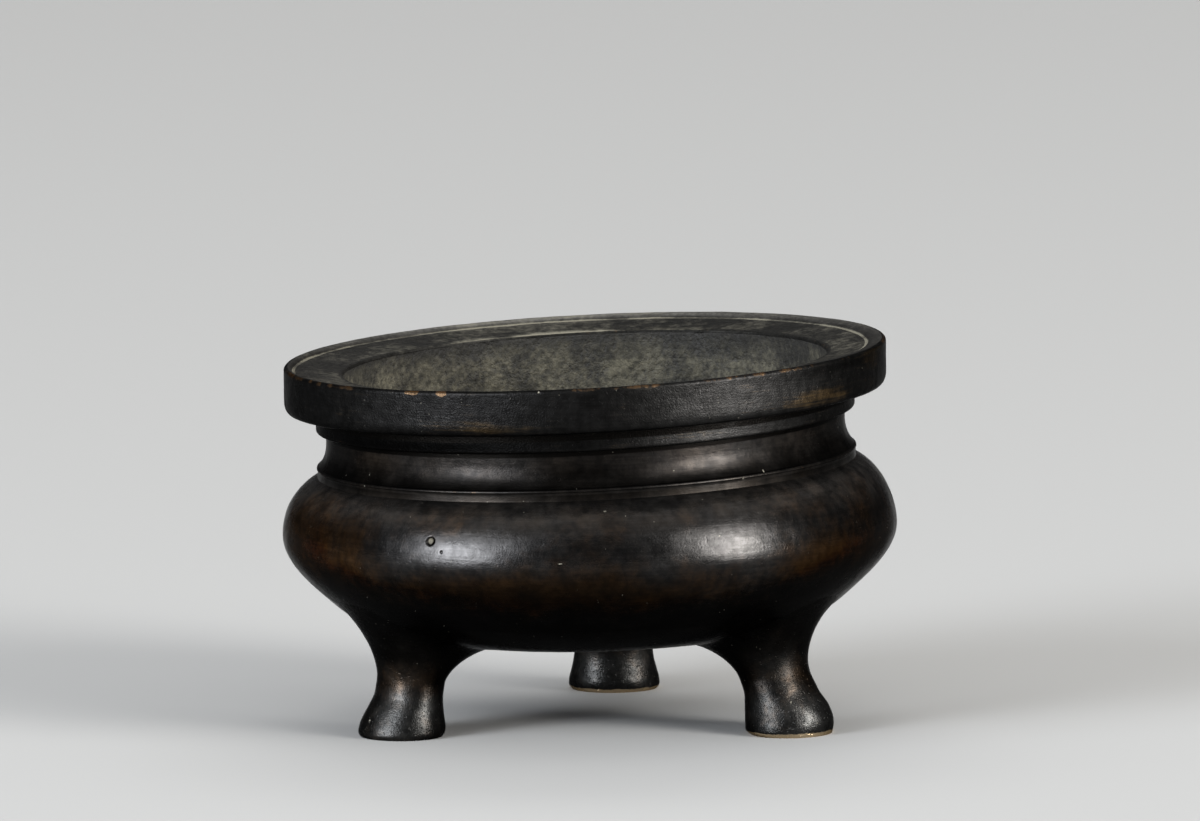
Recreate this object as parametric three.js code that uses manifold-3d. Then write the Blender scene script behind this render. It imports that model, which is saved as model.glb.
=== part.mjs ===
// A cast bronze tripod incense burner: a squat bowl with a plate-like mouth, on three trumpet feet.
// Millimetres, +Z up, the front faces -Y and the soles of the feet stand on z = 0.
import * as THREE from 'three';
import { mergeVertices } from 'three/addons/utils/BufferGeometryUtils.js';
import Module from 'manifold-3d';

const wasm = await Module();
wasm.setup();

const GAP = 0.3; // between pieces that touch
const WELD = 1e-4; // points nearer than this are one point
const TURN_STEPS = 60; // facets round the bowl and the collar
const PANEL_STEPS = 48; // facets round the disc in the floor
const CURVE_STEPS = 4; // points along each bend of an outline
const LOOKUP_STEPS = 40; // points along a bend where a height or a radius is looked up

// The bowl's outside. Points are [radius, height]; a bend is its start, two pull points and its end.
const UNDERSIDE = [30.0, 18.1];
const HAUNCH = [50.6, 24.5];
const BELLY = [61.25, 38.5];
const SHOULDER = [54.2, 50.8];
const RING_LINE = [[53.7, 51.1], [53.6, 52.3], [53.8, 52.9], [53.4, 53.4]];
const WAIST = [51.7, 58.5];
const NECK_TOP = 66.0;
const HAUNCH_BEND = [UNDERSIDE, [39.5, 18.3], [45.8, 20.6], HAUNCH];
const BELLY_BEND = [HAUNCH, [55.5, 28.8], [BELLY[0], 33.5], BELLY];
const SHOULDER_BEND = [BELLY, [BELLY[0], 43.5], [58.6, 48.6], SHOULDER];
const NECK_BEND = [RING_LINE.at(-1), [52.4, 54.6], [WAIST[0], 56.0], WAIST];

// The bowl's inside, from the bore of the neck down to the floor.
const BORE = [48.3, 54.0];
const BELLY_INSIDE = [58.2, 38.5];
const HAUNCH_INSIDE = [48.5, 26.8];
const FLOOR_EDGE = [30.0, 21.3];
const BORE_BEND = [BORE, [50.2, 49.0], [BELLY_INSIDE[0], 45.5], BELLY_INSIDE];
const WALL_BEND = [BELLY_INSIDE, [BELLY_INSIDE[0], 34.6], [53.2, 31.0], HAUNCH_INSIDE];
const FLOOR_BEND = [HAUNCH_INSIDE, [44.0, 23.0], [38.5, 21.6], FLOOR_EDGE];

// The disc let into the floor.
const PANEL = { flangeR: 20.0, bossR: 17.0, bottomZ: 18.0, stepZ: 19.6, topZ: 21.2 };

// The mouth collar: a plate-like rim over a short skirt that slips over the neck.
const RIM = { r: 60.0, bottomZ: 64.9, crestZ: 74.0, edge: 0.8, cornerIn: 1.6, cornerUp: 2.4 };
const SKIRT = { r: 53.7, bottomZ: 60.7, edge: 0.6 };
const LEDGE = { outerR: 57.3, outerZ: 73.1, innerR: 48.9, innerZ: 72.0, pull: 0.6, offCentre: -1.0 };
const MOUTH = { r: 48.2, lip: 0.7 };

// The feet: each outline is a list of [height, outward, inward, sideways] from the centre of the sole.
const FEET_CENTRE_X = 2.0;
const FOOT_STEPS = 24;
const PLAIN_FOOT = [
  [0.0, 8.2, 8.0, 8.6],
  [0.5, 8.5, 8.3, 9.0],
  [1.8, 8.4, 8.6, 9.1],
  [3.8, 7.55, 8.35, 8.65],
  [5.8, 6.35, 8.15, 8.2],
  [8.0, 5.05, 8.15, 7.9],
  [10.5, 4.55, 8.6, 7.75],
];
const HEELED_FOOT = [
  [0.0, 8.05, 7.9, 8.6],
  [0.5, 8.15, 8.7, 9.0],
  [1.8, 8.35, 9.0, 9.1],
  [3.8, 8.1, 9.2, 8.65],
  [5.8, 7.15, 9.25, 8.2],
  [8.0, 5.25, 9.35, 7.9],
  [10.5, 3.8, 10.4, 7.75],
];
const FEET = [
  { side: 'front_left', angle: 206.7, ring: 44.5, reach: 12.5, inward: 21.5, outline: PLAIN_FOOT },
  { side: 'front_right', angle: 330.0, ring: 43.3, reach: 9.0, inward: 24.0, outline: HEELED_FOOT },
  { side: 'back', angle: 86.7, ring: 44.5, reach: 12.5, inward: 21.5, outline: PLAIN_FOOT },
];
const FILLET_STEPS = 6;
const FILLET = { sideways: 16.5, edge: 0.35, riseShare: 0.45, nearShare: 0.55 };
const CAP_SHARES = [1, 0.8, 0.6, 0.4];
const CORE = { soleR: 5.3, topR: 3.4, depth: 11.5, sink: 0.8, lean: -1.5 };
const TENON = { r: 3.6, inset: 3.0, holeLength: 30, holeZ: 22 };

// Small plugs that fill the holes of the core pins, a third of a turn apart.
const PLUG = { r: 0.62, sink: 0.15, length: 2.4, holeLength: 12, z: 43.7, sides: 14 };
const PLUGS = [
  { name: 'core_plug_front', angle: 238.8 },
  { name: 'core_plug_right', angle: 358.8 },
  { name: 'core_plug_back', angle: 118.8 },
];

// The bowl stands a little askew on its feet: [height, slope up to the right, sideways shift].
const LEAN = [
  [0, 0, 0],
  [4, 0, 0],
  [17, 0.0125, 0],
  [38, 0.0125, 0],
  [51, 0.0325, -0.5],
  [58, 0.0405, -0.7],
  [90, 0.0405, -0.7],
];

const BRONZE = { color: 0x2b2521, roughness: 0.42, metalness: 0.85 };
const CLAY = { color: 0x5d5145, roughness: 0.95, metalness: 0.0 };

const bronze = (name) => new THREE.MeshStandardMaterial({ name, ...BRONZE });
const clay = (name) => new THREE.MeshStandardMaterial({ name, ...CLAY });
const v2 = (x, y) => new THREE.Vector2(x, y);
const cubic = (bend) => new THREE.CubicBezierCurve(...bend.map(([r, z]) => v2(r, z)));

function smooth(t) {
  return t * t * (3 - 2 * t);
}

function leanAt(z) {
  const next = LEAN.findIndex(([height], i) => i > 0 && z <= height);
  const [a, b] = [LEAN[next - 1], LEAN[next]];
  const t = smooth(Math.max(0, (z - a[0]) / (b[0] - a[0])));
  return { slope: a[1] + (b[1] - a[1]) * t, shift: a[2] + (b[2] - a[2]) * t };
}

// Moves the points of an upright shape to where the leaning casting has them.
function settle(geometry) {
  const p = geometry.attributes.position;
  for (let i = 0; i < p.count; i++) {
    const [x, y, z] = [p.getX(i), p.getY(i), p.getZ(i)];
    const { slope, shift } = leanAt(z);
    p.setXYZ(i, x + shift, y, z + x * slope);
  }
  geometry.computeVertexNormals();
  return geometry;
}

function bare(geometry) {
  geometry.deleteAttribute('normal');
  geometry.deleteAttribute('uv');
  return mergeVertices(geometry, WELD);
}

function turned(outline, steps) {
  const points = outline.getPoints(CURVE_STEPS);
  const kept = points.filter((p, i) => i === 0 || p.distanceTo(points[i - 1]) > WELD);
  return bare(new THREE.LatheGeometry(kept, steps).rotateX(Math.PI / 2));
}

function toSolid(geometry) {
  const mesh = new wasm.Mesh({
    numProp: 3,
    vertProperties: new Float32Array(geometry.attributes.position.array),
    triVerts: new Uint32Array(geometry.index.array),
  });
  return new wasm.Manifold(mesh);
}

function toGeometry(solid) {
  const mesh = solid.getMesh();
  const geometry = new THREE.BufferGeometry();
  geometry.setAttribute('position', new THREE.BufferAttribute(new Float32Array(mesh.vertProperties), 3));
  geometry.setIndex(new THREE.BufferAttribute(new Uint32Array(mesh.triVerts), 1));
  return geometry;
}

// A closed skin over rings of equal length, from one pole to the other.
function ringSolid(firstPole, rings, lastPole) {
  const count = rings[0].length;
  const points = [firstPole, ...rings.flat(), lastPole];
  const faces = [];
  const at = (ring, i) => 1 + ring * count + (i % count);
  for (let i = 0; i < count; i++) {
    faces.push(0, at(0, i + 1), at(0, i));
    for (let ring = 0; ring + 1 < rings.length; ring++) {
      faces.push(at(ring, i), at(ring + 1, i + 1), at(ring + 1, i));
      faces.push(at(ring, i), at(ring, i + 1), at(ring + 1, i + 1));
    }
    faces.push(points.length - 1, at(rings.length - 1, i), at(rings.length - 1, i + 1));
  }
  const geometry = new THREE.BufferGeometry().setFromPoints(points);
  geometry.setIndex(faces);
  return geometry;
}

function follow(path, bends) {
  for (const [, first, second, end] of bends) {
    path.bezierCurveTo(...first, ...second, ...end);
  }
}

// The height of an outline at a distance from the axis, and beyond its ends the height of its ends.
function heightOn(...bends) {
  const points = bends.flatMap((bend) => cubic(bend).getPoints(LOOKUP_STEPS));
  points.sort((a, b) => a.x - b.x);
  return (r) => {
    const next = points.findIndex((p) => p.x >= r);
    if (next <= 0) {
      return points.at(next).y;
    }
    const [a, b] = [points[next - 1], points[next]];
    return a.y + ((r - a.x) / (b.x - a.x)) * (b.y - a.y);
  };
}

const undersideZ = heightOn(HAUNCH_BEND, BELLY_BEND);
const floorZ = heightOn(FLOOR_BEND, WALL_BEND);

function tenonCentre(foot) {
  const angle = THREE.MathUtils.degToRad(foot.angle);
  const r = foot.ring - TENON.inset;
  return v2(FEET_CENTRE_X + r * Math.cos(angle), r * Math.sin(angle));
}

function pin(radius, length, sides) {
  return bare(new THREE.CylinderGeometry(radius, radius, length, sides));
}

function plugPlace(plug) {
  const angle = THREE.MathUtils.degToRad(plug.angle);
  const out = new THREE.Vector3(Math.cos(angle), Math.sin(angle), 0);
  return { out, turn: new THREE.Quaternion().setFromUnitVectors(new THREE.Vector3(0, 1, 0), out) };
}

function bowlShell() {
  const path = new THREE.Path();
  path.moveTo(PANEL.flangeR, PANEL.bottomZ);
  path.lineTo(...UNDERSIDE);
  follow(path, [HAUNCH_BEND, BELLY_BEND, SHOULDER_BEND]);
  RING_LINE.forEach((point) => path.lineTo(...point));
  follow(path, [NECK_BEND]);
  path.lineTo(WAIST[0], NECK_TOP);
  path.lineTo(BORE[0], NECK_TOP);
  path.lineTo(...BORE);
  follow(path, [BORE_BEND, WALL_BEND, FLOOR_BEND]);
  path.lineTo(PANEL.bossR, PANEL.topZ);
  path.lineTo(PANEL.bossR, PANEL.stepZ);
  path.lineTo(PANEL.flangeR, PANEL.stepZ);
  path.lineTo(PANEL.flangeR, PANEL.bottomZ);
  let solid = toSolid(turned(path, TURN_STEPS));
  for (const foot of FEET) {
    const hole = pin(TENON.r + GAP, TENON.holeLength, FOOT_STEPS).rotateX(Math.PI / 2);
    const { x, y } = tenonCentre(foot);
    solid = solid.subtract(toSolid(hole.translate(x, y, TENON.holeZ)));
  }
  for (const plug of PLUGS) {
    const { out, turn } = plugPlace(plug);
    const hole = pin(PLUG.r + GAP, PLUG.holeLength, PLUG.sides).applyQuaternion(turn);
    solid = solid.subtract(toSolid(hole.translate(out.x * BELLY[0], out.y * BELLY[0], PLUG.z)));
  }
  return settle(toGeometry(solid));
}

function mouthCollar() {
  const bore = WAIST[0] + GAP;
  const seatZ = NECK_TOP + GAP;
  const path = new THREE.Path();
  path.moveTo(bore, SKIRT.bottomZ);
  path.lineTo(SKIRT.r - SKIRT.edge, SKIRT.bottomZ);
  path.quadraticCurveTo(SKIRT.r, SKIRT.bottomZ, SKIRT.r, SKIRT.bottomZ + SKIRT.edge);
  path.lineTo(SKIRT.r, RIM.bottomZ);
  path.lineTo(RIM.r - RIM.cornerIn, RIM.bottomZ);
  path.quadraticCurveTo(RIM.r, RIM.bottomZ, RIM.r, RIM.bottomZ + RIM.cornerUp);
  path.lineTo(RIM.r, RIM.crestZ - RIM.edge);
  path.quadraticCurveTo(RIM.r, RIM.crestZ, RIM.r - RIM.edge, RIM.crestZ);
  path.quadraticCurveTo(LEDGE.outerR + LEDGE.pull, RIM.crestZ, LEDGE.outerR, LEDGE.outerZ);
  path.lineTo(LEDGE.innerR, LEDGE.innerZ);
  path.quadraticCurveTo(MOUTH.r, LEDGE.innerZ, MOUTH.r, LEDGE.innerZ - MOUTH.lip);
  path.lineTo(MOUTH.r, seatZ);
  path.lineTo(bore, seatZ);
  path.lineTo(bore, SKIRT.bottomZ);
  const geometry = turned(path, TURN_STEPS);
  const p = geometry.attributes.position;
  for (let i = 0; i < p.count; i++) {
    const r = Math.hypot(p.getX(i), p.getY(i));
    const onTop = p.getZ(i) > LEDGE.innerZ - WELD;
    const reach = r > LEDGE.outerR ? RIM.r - RIM.edge - LEDGE.outerR : LEDGE.outerR - LEDGE.innerR;
    const share = onTop ? Math.max(0, 1 - Math.abs(r - LEDGE.outerR) / reach) : 0;
    p.setX(i, p.getX(i) + LEDGE.offCentre * share);
  }
  return settle(geometry);
}

function basePanel() {
  const path = new THREE.Path();
  path.moveTo(0, PANEL.bottomZ);
  path.lineTo(PANEL.flangeR - GAP, PANEL.bottomZ);
  path.lineTo(PANEL.flangeR - GAP, PANEL.stepZ - GAP);
  path.lineTo(PANEL.bossR - GAP, PANEL.stepZ - GAP);
  path.lineTo(PANEL.bossR - GAP, PANEL.topZ);
  path.lineTo(0, PANEL.topZ);
  return settle(turned(path, PANEL_STEPS));
}

// The oval that reaches the given distances outward, inward and to each side of the sole's centre.
function ovalPoint(turn, outward, inward, sideways) {
  const along = (outward + inward) / 2;
  const middle = (outward - inward) / 2;
  return v2(middle + along * Math.cos(turn), sideways * Math.sin(turn));
}

function footAt(foot) {
  const angle = THREE.MathUtils.degToRad(foot.angle);
  const [c, s] = [Math.cos(angle), Math.sin(angle)];
  return (p, z) => new THREE.Vector3(
    FEET_CENTRE_X + (foot.ring + p.x) * c - p.y * s,
    (foot.ring + p.x) * s + p.y * c,
    z,
  );
}

const footTurns = Array.from({ length: FOOT_STEPS }, (_, i) => (i / FOOT_STEPS) * 2 * Math.PI);
const circle = (turn, radius, x) => v2(x + radius * Math.cos(turn), radius * Math.sin(turn));

function footShell(foot) {
  const place = footAt(foot);
  const ringOf = (point) => footTurns.map(point);
  const onHeight = (heightAt) => (p) => {
    const { x, y } = place(p, 0);
    return place(p, heightAt(Math.hypot(x, y)));
  };
  const onSeat = onHeight((r) => undersideZ(r) - GAP);
  const onFillet = onHeight((r) => undersideZ(r) - GAP - FILLET.edge);
  const onFloor = onHeight(floorZ);
  const rings = [
    ringOf((t) => place(circle(t, CORE.topR, CORE.lean), CORE.depth)),
    ringOf((t) => place(circle(t, CORE.soleR, 0), 0)),
    ...foot.outline.map(([z, ...reach]) => ringOf((t) => place(ovalPoint(t, ...reach), z))),
  ];
  const [belowZ, ...belowReach] = foot.outline.at(-2);
  const [stemZ, ...stemReach] = foot.outline.at(-1);
  const stem = (t) => ovalPoint(t, ...stemReach);
  const spread = (t) => ovalPoint(t, foot.reach, foot.inward, FILLET.sideways);
  const flare = (t) => {
    const near = onFillet(stem(t).lerp(spread(t), FILLET.nearShare));
    const rise = (near.z - stemZ) * FILLET.riseShare;
    const slope = stem(t).sub(ovalPoint(t, ...belowReach)).divideScalar(stemZ - belowZ);
    const pull = stem(t).addScaledVector(slope, rise);
    return new THREE.CubicBezierCurve3(
      place(stem(t), stemZ),
      place(pull, stemZ + rise),
      near,
      onFillet(spread(t)),
    );
  };
  for (let k = 1; k <= FILLET_STEPS; k++) {
    rings.push(ringOf((t) => flare(t).getPoint(k / FILLET_STEPS)));
  }
  const axis = v2(-TENON.inset, 0);
  for (const share of CAP_SHARES) {
    rings.push(ringOf((t) => onSeat(spread(t).lerp(axis, 1 - share))));
  }
  rings.push(ringOf((t) => onSeat(circle(t, TENON.r, axis.x))));
  rings.push(ringOf((t) => onFloor(circle(t, TENON.r, axis.x))));
  return settle(ringSolid(place(v2(CORE.lean, 0), CORE.depth), rings, onFloor(axis)));
}

function footCore(foot) {
  const place = footAt(foot);
  const share = CORE.sink / CORE.depth;
  const lowR = CORE.soleR + (CORE.topR - CORE.soleR) * share - GAP;
  const topZ = CORE.depth - GAP;
  const rings = [
    footTurns.map((t) => place(circle(t, lowR, CORE.lean * share), CORE.sink)),
    footTurns.map((t) => place(circle(t, CORE.topR - GAP, CORE.lean), topZ)),
  ];
  return settle(ringSolid(place(v2(0, 0), CORE.sink), rings, place(v2(CORE.lean, 0), topZ)));
}

function corePlug(plug) {
  const { out, turn } = plugPlace(plug);
  const wall = cubic(SHOULDER_BEND).getPoints(LOOKUP_STEPS).find((p) => p.y >= PLUG.z);
  const middle = wall.x - PLUG.sink - PLUG.length / 2;
  const geometry = pin(PLUG.r, PLUG.length, PLUG.sides).applyQuaternion(turn);
  return settle(geometry.translate(out.x * middle, out.y * middle, PLUG.z));
}

function addPiece(group, name, geometry, material) {
  const mesh = new THREE.Mesh(geometry, material);
  mesh.name = name;
  group.add(mesh);
}

function incenseBurner() {
  const burner = new THREE.Group();
  addPiece(burner, 'bowl_shell', bowlShell(), bronze('bowl bronze'));
  addPiece(burner, 'mouth_collar', mouthCollar(), bronze('collar bronze'));
  addPiece(burner, 'base_panel', basePanel(), bronze('panel bronze'));
  for (const foot of FEET) {
    addPiece(burner, `foot_${foot.side}`, footShell(foot), bronze('foot bronze'));
    addPiece(burner, `foot_core_${foot.side}`, footCore(foot), clay('core clay'));
  }
  for (const plug of PLUGS) {
    addPiece(burner, plug.name, corePlug(plug), bronze('plug bronze'));
  }
  const centre = new THREE.Box3().setFromObject(burner, true).getCenter(new THREE.Vector3());
  burner.position.set(-centre.x, -centre.y, 0);
  return burner;
}

export default incenseBurner();
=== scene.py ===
"""A bronze tripod incense burner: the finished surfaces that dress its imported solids.

The burner stands on z = 0 and its front faces -Y. Sizes are in millimetres unless a name says
otherwise; MM turns them into the frame's metres.
"""

import logging
import math
from collections.abc import Callable
from dataclasses import dataclass
from enum import Enum

import bpy
import numpy as np
from mathutils import Matrix, Vector, noise

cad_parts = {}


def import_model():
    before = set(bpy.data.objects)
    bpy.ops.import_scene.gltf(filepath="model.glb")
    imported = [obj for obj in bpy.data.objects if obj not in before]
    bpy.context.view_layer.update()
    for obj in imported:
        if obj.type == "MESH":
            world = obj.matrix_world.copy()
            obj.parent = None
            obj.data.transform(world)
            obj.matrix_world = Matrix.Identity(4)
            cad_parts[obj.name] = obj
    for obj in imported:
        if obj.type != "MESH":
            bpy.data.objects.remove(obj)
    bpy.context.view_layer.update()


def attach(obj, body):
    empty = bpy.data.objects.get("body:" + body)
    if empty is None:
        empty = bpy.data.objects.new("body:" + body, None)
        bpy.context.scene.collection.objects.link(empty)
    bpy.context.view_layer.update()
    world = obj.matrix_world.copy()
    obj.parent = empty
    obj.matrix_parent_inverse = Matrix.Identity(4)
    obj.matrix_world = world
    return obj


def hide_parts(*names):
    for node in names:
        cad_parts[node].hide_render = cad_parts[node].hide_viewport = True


MM = 0.001
BODY = "root"
LOG = logging.getLogger("incense_burner")

Colour = tuple[float, float, float]
Point = tuple[float, float]
Pair = tuple[float, float]
Socket = bpy.types.NodeSocket
Feed = Socket | Colour | float

FULL_TURN = 2 * math.pi

# The bowl's outline, as radius and height. A bend is its start, two pull points and its end.
UNDERSIDE: Point = (30.0, 18.1)
HAUNCH: Point = (50.6, 24.5)
BELLY: Point = (61.25, 38.5)
SHOULDER: Point = (54.2, 50.8)
RING_FOOT: Point = (53.7, 51.1)
RING_LOW: Point = (53.6, 52.3)
RING_PULL: Point = (53.62, 52.75)
RING_CREST: Point = (53.8, 52.9)
CREST_PULL: Point = (53.8, 53.3)
RING_TOP: Point = (53.4, 53.4)
WAIST: Point = (51.7, 58.5)
NECK_TOP = 66.0
MOUTH_R = 48.2
GAP = 0.3
HAUNCH_BEND = (UNDERSIDE, (39.5, 18.3), (45.8, 20.6), HAUNCH)
BELLY_BEND = (HAUNCH, (55.5, 28.8), (61.25, 33.5), BELLY)
SHOULDER_BEND = (BELLY, (61.25, 43.5), (58.6, 48.6), SHOULDER)
NECK_BEND = (RING_TOP, (52.4, 54.6), (51.7, 56.0), WAIST)
BORE: Point = (48.3, 54.0)
BELLY_INSIDE: Point = (58.2, 38.5)
HAUNCH_INSIDE: Point = (48.5, 26.8)
FLOOR_EDGE: Point = (30.0, 21.3)
BORE_BEND = (BORE, (50.2, 49.0), (58.2, 45.5), BELLY_INSIDE)
WALL_BEND = (BELLY_INSIDE, (58.2, 34.6), (53.2, 31.0), HAUNCH_INSIDE)
FLOOR_BEND = (HAUNCH_INSIDE, (44.0, 23.0), (38.5, 21.6), FLOOR_EDGE)

# The radius at which a mark's width is turned into the angle of its finer columns.
MARK_RADIUS = 60.0

# The attributes of the meshes' points that the materials read.
WORDS = ("edge", "hollow", "warm", "bare", "pale", "grime", "shine", "haze")

# How much the broad clouds of a patina count, and the size of the fine ones against them.
BROAD = 0.7
FINE_CLOUD = 0.16

# The patches in which wear and dust come and go: in millimetres, and in clumps of dust.
WEAR_PATCH = 26.0
DUST_PATCH = 9.0

# Pits and wide lumps of the cast grain, in grains, and how much the wide ones count.
PIT_SIZE = 2.5
WIDE_SIZE = 7.0
WIDE_SHARE = 0.8

# How far the places of the pale specks are bent, and by lumps of what fineness.
SPECK_BEND = 0.35
SPECK_FINENESS = 4.0

# Shifts, in millimetres, that keep noises from repeating each other.
CLOUD_SHIFT, WEAR_SHIFT, DUST_SHIFT, PIT_SHIFT = 31.0, 57.0, 71.0, 83.0
PLUG_SHIFT, DISC_SHIFT, CLAY_SHIFT = 7.0, 11.0, 23.0

# The flat bottom of a recess: where its edge starts, in half widths, and how wide it is.
RECESS_EDGE = 1.12
RECESS_SLOPE = 0.24

# The lamps' watts for each square metre at a brightness of 1.
LAMP_WATTS = 4.0


class Skin(Enum):
    """The surfaces of a piece that take different finishes."""

    OUTSIDE = 0
    UPPER = 1
    INSIDE = 2


@dataclass(frozen=True)
class Lean:
    """How the casting leans.

    Each row has a height, the slope up to the right there and the shift to the right.
    """

    rows: tuple[tuple[float, float, float], ...] = (
        (0.0, 0.0, 0.0),
        (4.0, 0.0, 0.0),
        (17.0, 0.0125, 0.0),
        (38.0, 0.0125, 0.0),
        (51.0, 0.0325, -0.5),
        (58.0, 0.0405, -0.7),
        (90.0, 0.0405, -0.7),
    )

    def settle(self, points: np.ndarray) -> np.ndarray:
        """Moves upright points to where the leaning casting has them.

        Args:
            points: Points in millimetres, with x, y and z along the last axis.

        Returns:
            The moved points, in an array of the same shape.
        """
        rows = np.array(self.rows)
        x, z = points[..., 0], points[..., 2]
        above = np.clip(np.searchsorted(rows[:, 0], z), 1, len(rows) - 1)
        low, high = rows[above - 1], rows[above]
        t = np.clip((z - low[..., 0]) / (high[..., 0] - low[..., 0]), 0.0, 1.0)
        t = t * t * (3.0 - 2.0 * t)
        slope = low[..., 1] + (high[..., 1] - low[..., 1]) * t
        shift = low[..., 2] + (high[..., 2] - low[..., 2]) * t
        return np.stack([x + shift, points[..., 1], z + x * slope], axis=-1)


LEAN = Lean()


def along(points: tuple[Point, ...], spacing: float) -> np.ndarray:
    """Follows a line, or a bend with one or two pull points.

    Args:
        points: The start, up to two pull points, and the end.
        spacing: The distance between the points that come back.

    Returns:
        The points along it, both ends included.
    """
    control = np.array(points, float)
    length = np.linalg.norm(np.diff(control, axis=0), axis=1).sum()
    count = max(2, math.ceil(length / spacing)) + 1
    t = np.linspace(0.0, 1.0, count)[:, None]
    order = len(control) - 1
    parts = [
        math.comb(order, k) * (1 - t) ** (order - k) * t**k * control[k] for k in range(order + 1)
    ]
    return np.sum(parts, axis=0)


def height_on(*bends: tuple[Point, ...]) -> Callable[[np.ndarray], np.ndarray]:
    """Makes a lookup of an outline's height from a distance to the axis.

    Args:
        *bends: The bends of the outline.

    Returns:
        A function from distances to heights.
    """
    points = np.concatenate([along(bend, 0.25) for bend in bends])
    points = points[np.argsort(points[:, 0])]
    return lambda r: np.interp(r, points[:, 0], points[:, 1])


def fractal(points: np.ndarray, size: float, octaves: int = 3) -> np.ndarray:
    """Reads smooth noise, about -1 to 1, at points.

    Args:
        points: Points in millimetres, with x, y and z along the last axis.
        size: The size of the largest lumps.
        octaves: How many finer layers are added.

    Returns:
        One value for each point.
    """
    flat = (points / size).reshape(-1, 3)
    values = [noise.fractal(p, 1.0, 2.0, octaves) for p in flat.tolist()]
    return np.array(values).reshape(points.shape[:-1])


@dataclass(frozen=True)
class Stretch:
    """One run of an outline, with the finish, the painted shade and the unevenness of its surface.
    """

    points: tuple[Point, ...]
    spacing: float
    skin: Skin = Skin.OUTSIDE
    rough: float = 0.04
    dust: float = 0.0
    grime: Pair = (0.0, 0.0)


@dataclass(frozen=True)
class Mark:
    """A pit, nick, chip or recess in a turned surface, by its angle in degrees and its height."""

    angle: float
    height: float
    wide: float
    tall: float
    depth: float
    bare: float = 0.0
    pale: float = 0.0
    flat: bool = False
    skin: Skin = Skin.OUTSIDE

    def depth_at(self, angles: np.ndarray, radii: np.ndarray, heights: np.ndarray) -> np.ndarray:
        """Finds how much of the mark's depth each point has.

        Args:
            angles: Angles round the axis, in degrees.
            radii: Distances from the axis.
            heights: Heights before the casting's lean.

        Returns:
            Shares from 0 to 1.
        """
        turn = away_from(angles, self.angle)
        across = np.radians(turn) * radii / (self.wide / 2)
        up = (heights - self.height) / (self.tall / 2)
        far = np.hypot(across, up)
        if self.flat:
            return np.clip((RECESS_EDGE - far) / RECESS_SLOPE, 0.0, 1.0)
        return np.exp(-2.0 * far * far)


@dataclass(frozen=True)
class Patch:
    """A place where the patina differs from that round it, or where a painted highlight or painted
    shade lightens or darkens its colour.
    """

    angle: float
    height: float
    wide: float
    tall: float
    warmth: float = 0.0
    shine: float = 0.0
    dust: float = 0.0
    haze: float = 0.0

    def share_at(self, angles: np.ndarray, heights: np.ndarray) -> np.ndarray:
        """Finds how much of the patch each point has.

        Args:
            angles: Angles round the axis, in degrees.
            heights: Heights before the casting's lean.

        Returns:
            Shares from 0 to 1.
        """
        wide = away_from(angles, self.angle) / (self.wide / 2)
        tall = (heights - self.height) / (self.tall / 2)
        return np.exp(-(wide**2) - tall**2)


@dataclass(frozen=True)
class Surface:
    """A grid of points of a turned piece, before it becomes a mesh."""

    points: np.ndarray
    edge: np.ndarray
    hollow: np.ndarray
    warm: np.ndarray
    bare: np.ndarray
    pale: np.ndarray
    grime: np.ndarray
    shine: np.ndarray
    haze: np.ndarray
    skins: np.ndarray


def link(mesh: bpy.types.Mesh, name: str) -> bpy.types.Object:
    """Puts a mesh in the scene.

    Args:
        mesh: The finished mesh.
        name: The piece's name.

    Returns:
        The new object.
    """
    piece = bpy.data.objects.new(name, mesh)
    bpy.context.scene.collection.objects.link(piece)
    return piece


def skin_mesh(name: str, grid: np.ndarray, closed: bool, poles: bool = False) -> bpy.types.Mesh:
    """Joins rings of points into a smooth mesh.

    Args:
        name: The mesh's name.
        grid: Points in millimetres, ring by ring.
        closed: Whether the last ring joins the first.
        poles: Whether the first and the last ring are closed by a fan of faces.

    Returns:
        The mesh, in metres.
    """
    rings, count = grid.shape[:2]
    steps = rings if closed else rings - 1
    i = np.arange(steps)[:, None]
    j = np.arange(count)[None, :]
    low, high = i * count, ((i + 1) % rings) * count
    right = (j + 1) % count
    quads = np.stack([low + j, low + right, high + right, high + j], axis=-1)
    faces = quads.reshape(-1, 4).tolist()
    points = (grid.reshape(-1, 3) * MM).tolist()
    if poles:
        first, last = len(points), len(points) + 1
        points.append((grid[0].mean(axis=0) * MM).tolist())
        points.append((grid[-1].mean(axis=0) * MM).tolist())
        top = (rings - 1) * count
        faces += [(first, (k + 1) % count, k) for k in range(count)]
        faces += [(last, top + k, top + (k + 1) % count) for k in range(count)]
    mesh = bpy.data.meshes.new(name)
    mesh.from_pydata(points, [], faces)
    mesh.validate()
    mesh.shade_smooth()
    return mesh


def paint(mesh: bpy.types.Mesh, **words: np.ndarray) -> None:
    """Stores values for each point of a mesh, for the materials to read.

    Args:
        mesh: The mesh.
        **words: The values by name; points beyond the last keep 0.
    """
    for word, values in words.items():
        full = np.zeros(len(mesh.vertices), np.float32)
        full[: values.size] = values.reshape(-1)
        mesh.attributes.new(word, "FLOAT", "POINT").data.foreach_set("value", full)


def round_axis(turns: np.ndarray, radii: np.ndarray, heights: np.ndarray) -> np.ndarray:
    """Puts points round the axis.

    Args:
        turns: Angles in degrees.
        radii: Distances from the axis.
        heights: Heights.

    Returns:
        The points, with x, y and z along the last axis.
    """
    around = np.radians(turns)
    return np.stack([radii * np.cos(around), radii * np.sin(around), heights], axis=-1)


def away_from(turns: np.ndarray, angle: float) -> np.ndarray:
    """Gives how far angles are from another one, between -180 and 180 degrees."""
    return (turns - angle + 180.0) % 360.0 - 180.0


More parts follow.
